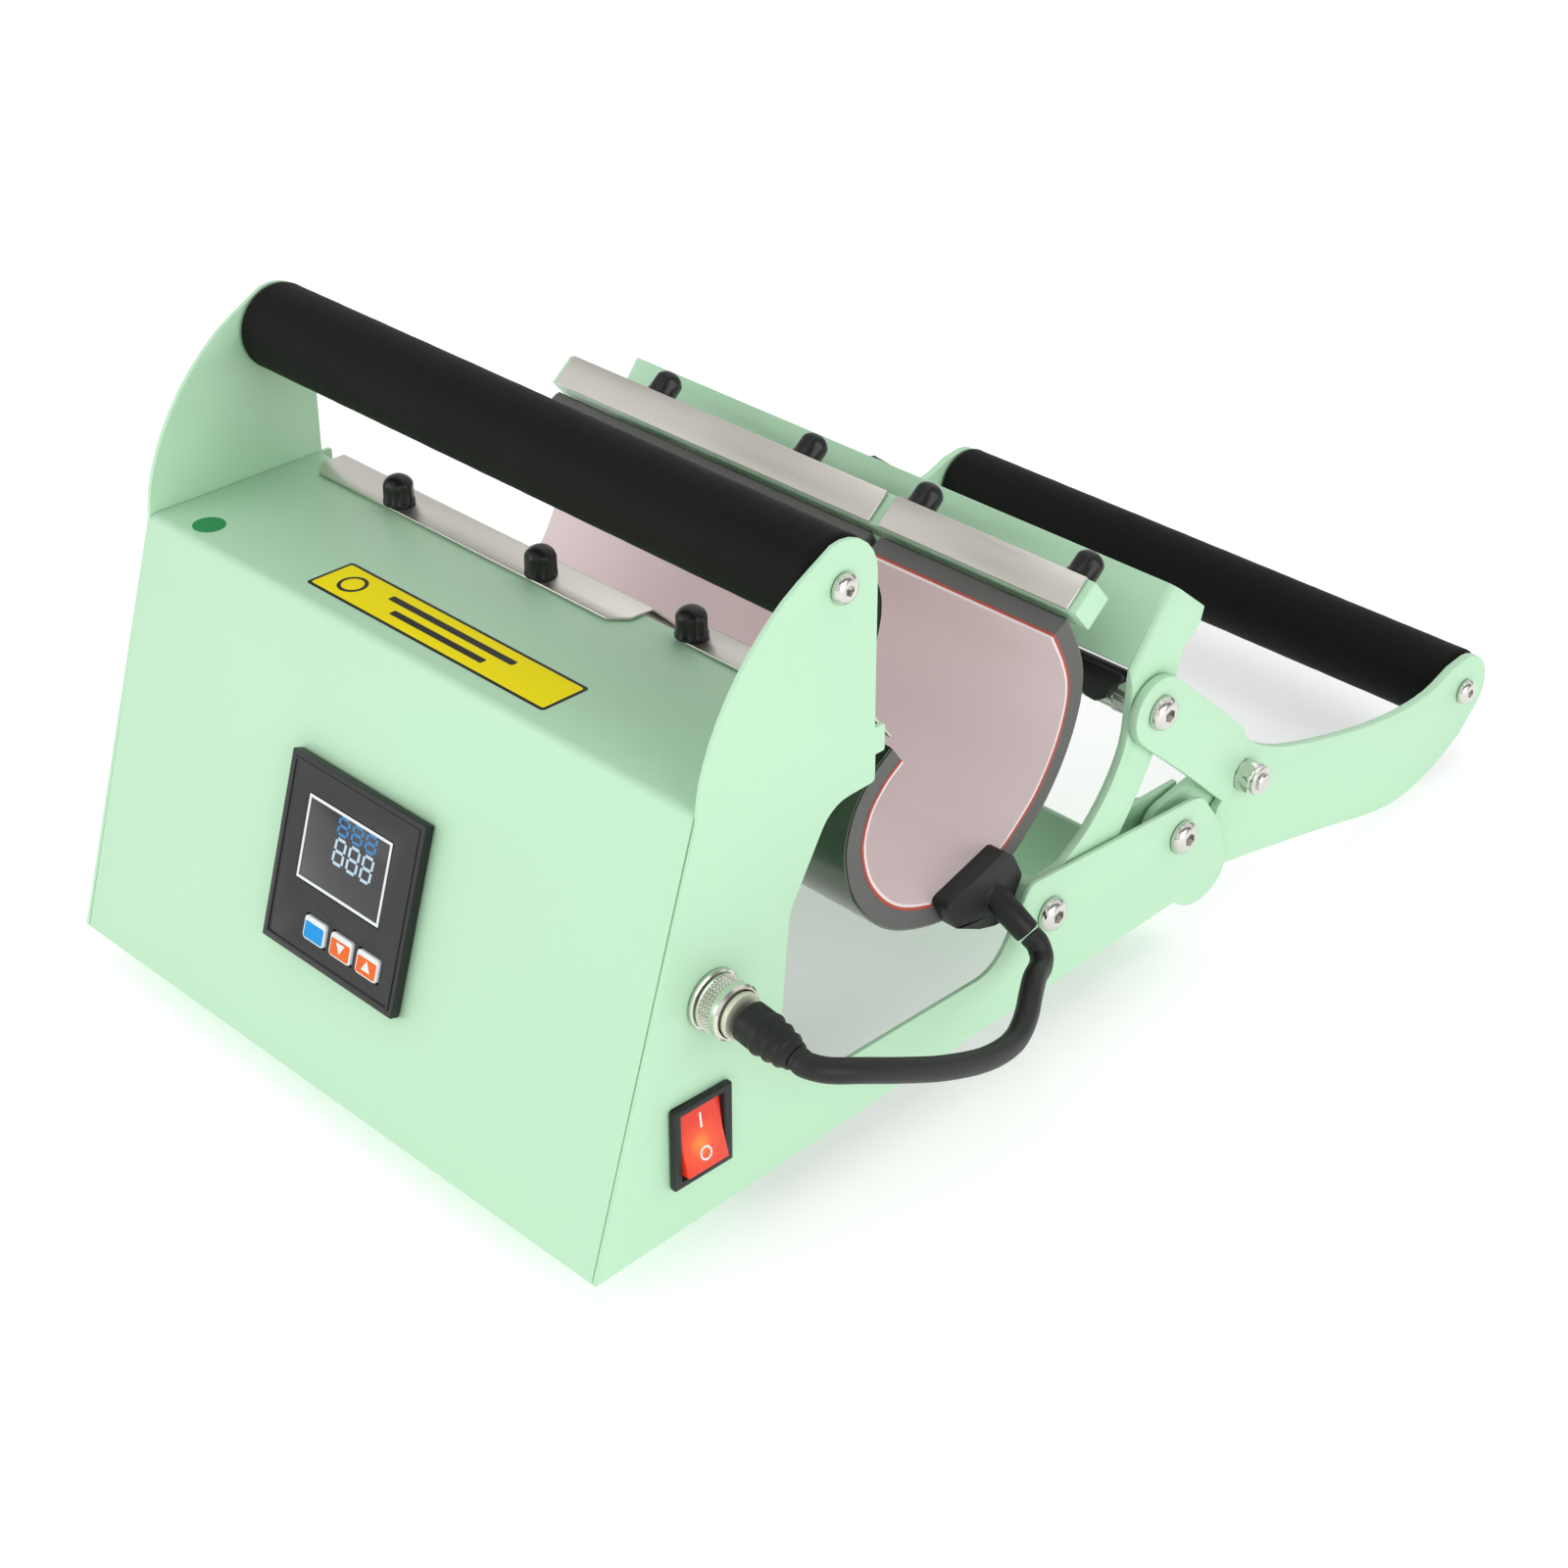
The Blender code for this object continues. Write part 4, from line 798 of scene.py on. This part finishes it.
# Height, radius, and how far the round is drawn in to a hexagon.
CAP_RINGS = ((0.0, 4.85, 0.0), (0.9, 4.85, 0.0), (1.2, 4.75, 1.0), (5.4, 4.7, 1.0), (6.2, 4.6, 0.55),
             (7.1, 4.1, 0.2), (7.9, 3.3, 0.0), (8.5, 2.3, 0.0), (8.9, 1.1, 0.0))
CAP_SIDES, CAP_CORNER = 48, 1.06
cap_work = bmesh.new()
cap_rows = []
for height, radius, flat in CAP_RINGS:
    row = []
    for k in range(CAP_SIDES):
        angle = 2 * math.pi * k / CAP_SIDES
        hexed = math.cos(math.pi / 6) / math.cos(angle % (math.pi / 3) - math.pi / 6)
        reach = radius * (1 - flat + flat * min(1.0, hexed * CAP_CORNER))
        spot = (reach * math.cos(angle) * MM, reach * math.sin(angle) * MM, height * MM)
        row.append(cap_work.verts.new(spot))
    cap_rows.append(row)
for low, high in zip(cap_rows, cap_rows[1:]):
    for k in range(CAP_SIDES):
        cap_work.faces.new((low[k], low[(k + 1) % CAP_SIDES], high[(k + 1) % CAP_SIDES], high[k]))
cap_work.faces.new(cap_rows[0][::-1])
cap_work.faces.new(cap_rows[-1])
cap_mesh = bpy.data.meshes.new("cap_pattern")
cap_work.to_mesh(cap_mesh)
cap_work.free()
cap_pattern = put("cap_pattern", turn_smooth(cap_mesh, 40))
front_places = [(at(x, y, TOP + 1.5), (0.0, 0.0, turn)) for x, y, turn in
                ((-70.5, 96.6, 0.2), (-5.5, 96.6, 0.7), (51.5, 102.2, 0.4), (104.0, 102.2, 1.0))]
copies("front_cap_nuts", cap_pattern, front_places, CAPS, "frame",
       [f"front_cap_{k}" for k in range(1, 5)])
BAR_AT, BAR_TILT = Vector((200.3, 136.8)), math.radians(40.0)
bar_u = Vector((math.cos(BAR_TILT), math.sin(BAR_TILT)))
bar_v = Vector((-math.sin(BAR_TILT), math.cos(BAR_TILT)))
cap_foot = BAR_AT + bar_u * 5.8 + bar_v * 0.6
rear_places = [(at(x, *cap_foot), (BAR_TILT - math.pi / 2, 0.0, 0.0)) for x in (-73.0, -7.0, 41.5, 104.0)]
copies("rear_cap_nuts", cap_pattern, rear_places, CAPS, "clamp_frame",
       [f"rear_cap_{k}" for k in range(1, 5)])
bpy.data.objects.remove(cap_pattern, do_unlink=True)

# ------------------------------------------------------------------ clamp frame
# Two curved arms and a cross web folded from one plate, with a square bar in
# front of the web that a screw with a star knob pushes on.
for node in ("clamp_yoke", "clamp_bar"):
    eased(node, 0.35, POWDER, "clamp_frame")
for node in ("bumper_left", "bumper_right"):
    eased(node, 0.8, MOULDED, "clamp_frame", 25)
eased("pressure_knob", 0.5, HOUSING, "pressure_adjuster", 60)
screw_cad = frame["nodes"]["pressure_screw"]
screw_cad.data.materials.clear()
screw_cad.data.materials.append(ZINC)
PIVOTS = {"arm": (180.0, 45.5), "link": (241.0, 45.0), "handle": (224.5, 96.0), "toggle": (275.0, 51.5)}
# Shank and head radius, rise and socket radius of the pivot screws.
PIVOT_HEAD = (3.0, 5.5, 3.4, 2.2)
tie = [(106.3, 5.0, "o"), (106.6, 5.3, "o"), (106.8, 5.7, "h"), (112.4, 5.7, "h"), (112.6, 5.3, "o"),
       (112.8, 6.2, "o"), (114.2, 6.2, "o"), (114.2, 3.0, "o")] + button_rings(121.6, *PIVOT_HEAD)
turned_piece("tie_rod_bar", (0.0, *PIVOTS["handle"]), (1, 0, 0), mirrored(tie), "clamp_frame", "tie_rod")

# ------------------------------------------------------------------ handle, links and pivot screws
# Two joggled handle plates, two short links under them, and button-head
# screws with lock nuts at every pivot.
for node, body in (("handle_plate_left", "rear_handle"), ("handle_plate_right", "rear_handle"),
                   ("toggle_link_left", "left_link"), ("toggle_link_right", "right_link")):
    eased(node, 0.3, POWDER, body)
for side, tag in ((1, "right"), (-1, "left")):
    arm = [(105.9, 2.4, "o"), (106.4, 3.0, "o"), (108.1, 3.0, "o"), (108.2, 5.1, "o"), (108.6, 5.7, "h"),
           (112.9, 5.7, "h"), (113.2, 5.2, "o"), (113.3, 6.4, "o"), (114.2, 6.4, "o"), (114.2, 3.0, "o")]
    turned_piece(f"arm_screw_{tag}", (0.0, *PIVOTS["arm"]), (side, 0, 0),
                 arm + button_rings(120.3, *PIVOT_HEAD), "frame", f"arm_bolt_{tag}")
    link = [(98.6, 2.4, "o"), (99.1, 3.0, "o"), (101.1, 3.0, "o"), (101.2, 5.1, "o"), (101.6, 5.7, "h"),
            (105.8, 5.7, "h"), (106.2, 5.1, "o"), (106.2, 3.0, "o"), (108.8, 3.0, "o"), (108.8, 6.2, "o"),
            (110.0, 6.2, "o"), (110.0, 3.0, "o"), (113.6, 3.0, "o"), (113.6, 6.2, "o"), (118.2, 6.2, "o"),
            (118.2, 3.0, "o")]
    turned_piece(f"link_screw_{tag}", (0.0, *PIVOTS["link"]), (side, 0, 0),
                 link + button_rings(120.3, *PIVOT_HEAD), "frame", f"link_bolt_{tag}")
    toggle = [(106.1, 3.4, "o"), (106.8, 4.6, "o"), (107.6, 5.4, "o"), (108.6, 5.9, "o"), (110.0, 6.2, "o"),
              (110.0, 3.0, "o"), (117.3, 3.0, "o"), (117.3, 5.2, "o"), (117.7, 5.7, "h"), (121.9, 5.7, "h"),
              (122.4, 5.1, "o"), (122.6, 4.9, "o"), (123.7, 4.7, "o"), (124.1, 4.1, "o"), (124.1, 3.0, "o"),
              (124.9, 3.0, "o"), (125.3, 2.5, "o")]
    turned_piece(f"toggle_screw_{tag}", (0.0, *PIVOTS["toggle"]), (side, 0, 0), toggle, "rear_handle",
                 f"toggle_bolt_{tag}")

# ------------------------------------------------------------------ floor and light
# A plain white table that glows a little, under a sky with soft grey patches
# for the metal to reflect, and three soft boxes: front left, right and above.
TABLE_HALF, TABLE_Z = 9, -0.0003
floor_mesh = bpy.data.meshes.new("floor")
table_corners = [(x * TABLE_HALF, y * TABLE_HALF, TABLE_Z) for x, y in ((-1, -1), (1, -1), (1, 1), (-1, 1))]
floor_mesh.from_pydata(table_corners, [], [(0, 1, 2, 3)])
FLOOR = finish_of("white_table", (0.93, 0.93, 0.93), 0.7, grains=300, mottle=2, bump=0.0, tint=0.004,
                  specular=0.1)
table = FLOOR.node_tree.nodes["Principled BSDF"]
table.inputs["Emission Color"].default_value = (1, 1, 1, 1)
table.inputs["Emission Strength"].default_value = 0.3
put("floor", floor_mesh, FLOOR)


def soft_box(name, spot, target, size, power):
    """Rectangular area light aimed at a point, its power in watts."""
    light = bpy.data.lights.new(name, "AREA")
    light.shape = "RECTANGLE"
    light.size, light.size_y = size
    light.energy = power
    lamp = bpy.data.objects.new(name, light)
    lamp.location = spot
    lamp.rotation_euler = (Vector(target) - Vector(spot)).to_track_quat("-Z", "Y").to_euler()
    bpy.context.scene.collection.objects.link(lamp)


soft_box("front_soft_box", (-0.9, -2.0, 0.7), (0, -0.1, 0.08), (1.6, 1.2), 12)
soft_box("side_soft_box", (2.0, -0.3, 0.7), (0, 0, 0.08), (1.4, 1.2), 15)
soft_box("top_soft_box", (-0.4, 0.5, 2.2), (0, 0, 0.08), (1.8, 1.8), 5)
sky = bpy.data.worlds.new("studio_sky")
sky.use_nodes = True
sky_nodes, sky_links = sky.node_tree.nodes, sky.node_tree.links
sky_way = sky_nodes.new("ShaderNodeTexCoord")
sky_noise = sky_nodes.new("ShaderNodeTexNoise")
sky_noise.inputs["Scale"].default_value = 2.2
sky_noise.inputs["Detail"].default_value = 0.0
sky_ramp = sky_nodes.new("ShaderNodeValToRGB")
sky_ramp.color_ramp.elements[0].position = 0.42
sky_ramp.color_ramp.elements[0].color = (0.3, 0.3, 0.3, 1)
sky_ramp.color_ramp.elements[1].position = 0.5
sky_ramp.color_ramp.elements[1].color = (1, 1, 1, 1)
sky_links.new(sky_way.outputs["Generated"], sky_noise.inputs["Vector"])
sky_links.new(sky_noise.outputs["Fac"], sky_ramp.inputs["Fac"])
sky_links.new(sky_ramp.outputs["Color"], sky_nodes["Background"].inputs["Color"])
sky_nodes["Background"].inputs["Strength"].default_value = 0.95
bpy.context.scene.world = sky
bpy.context.scene.view_settings.view_transform = "Standard"
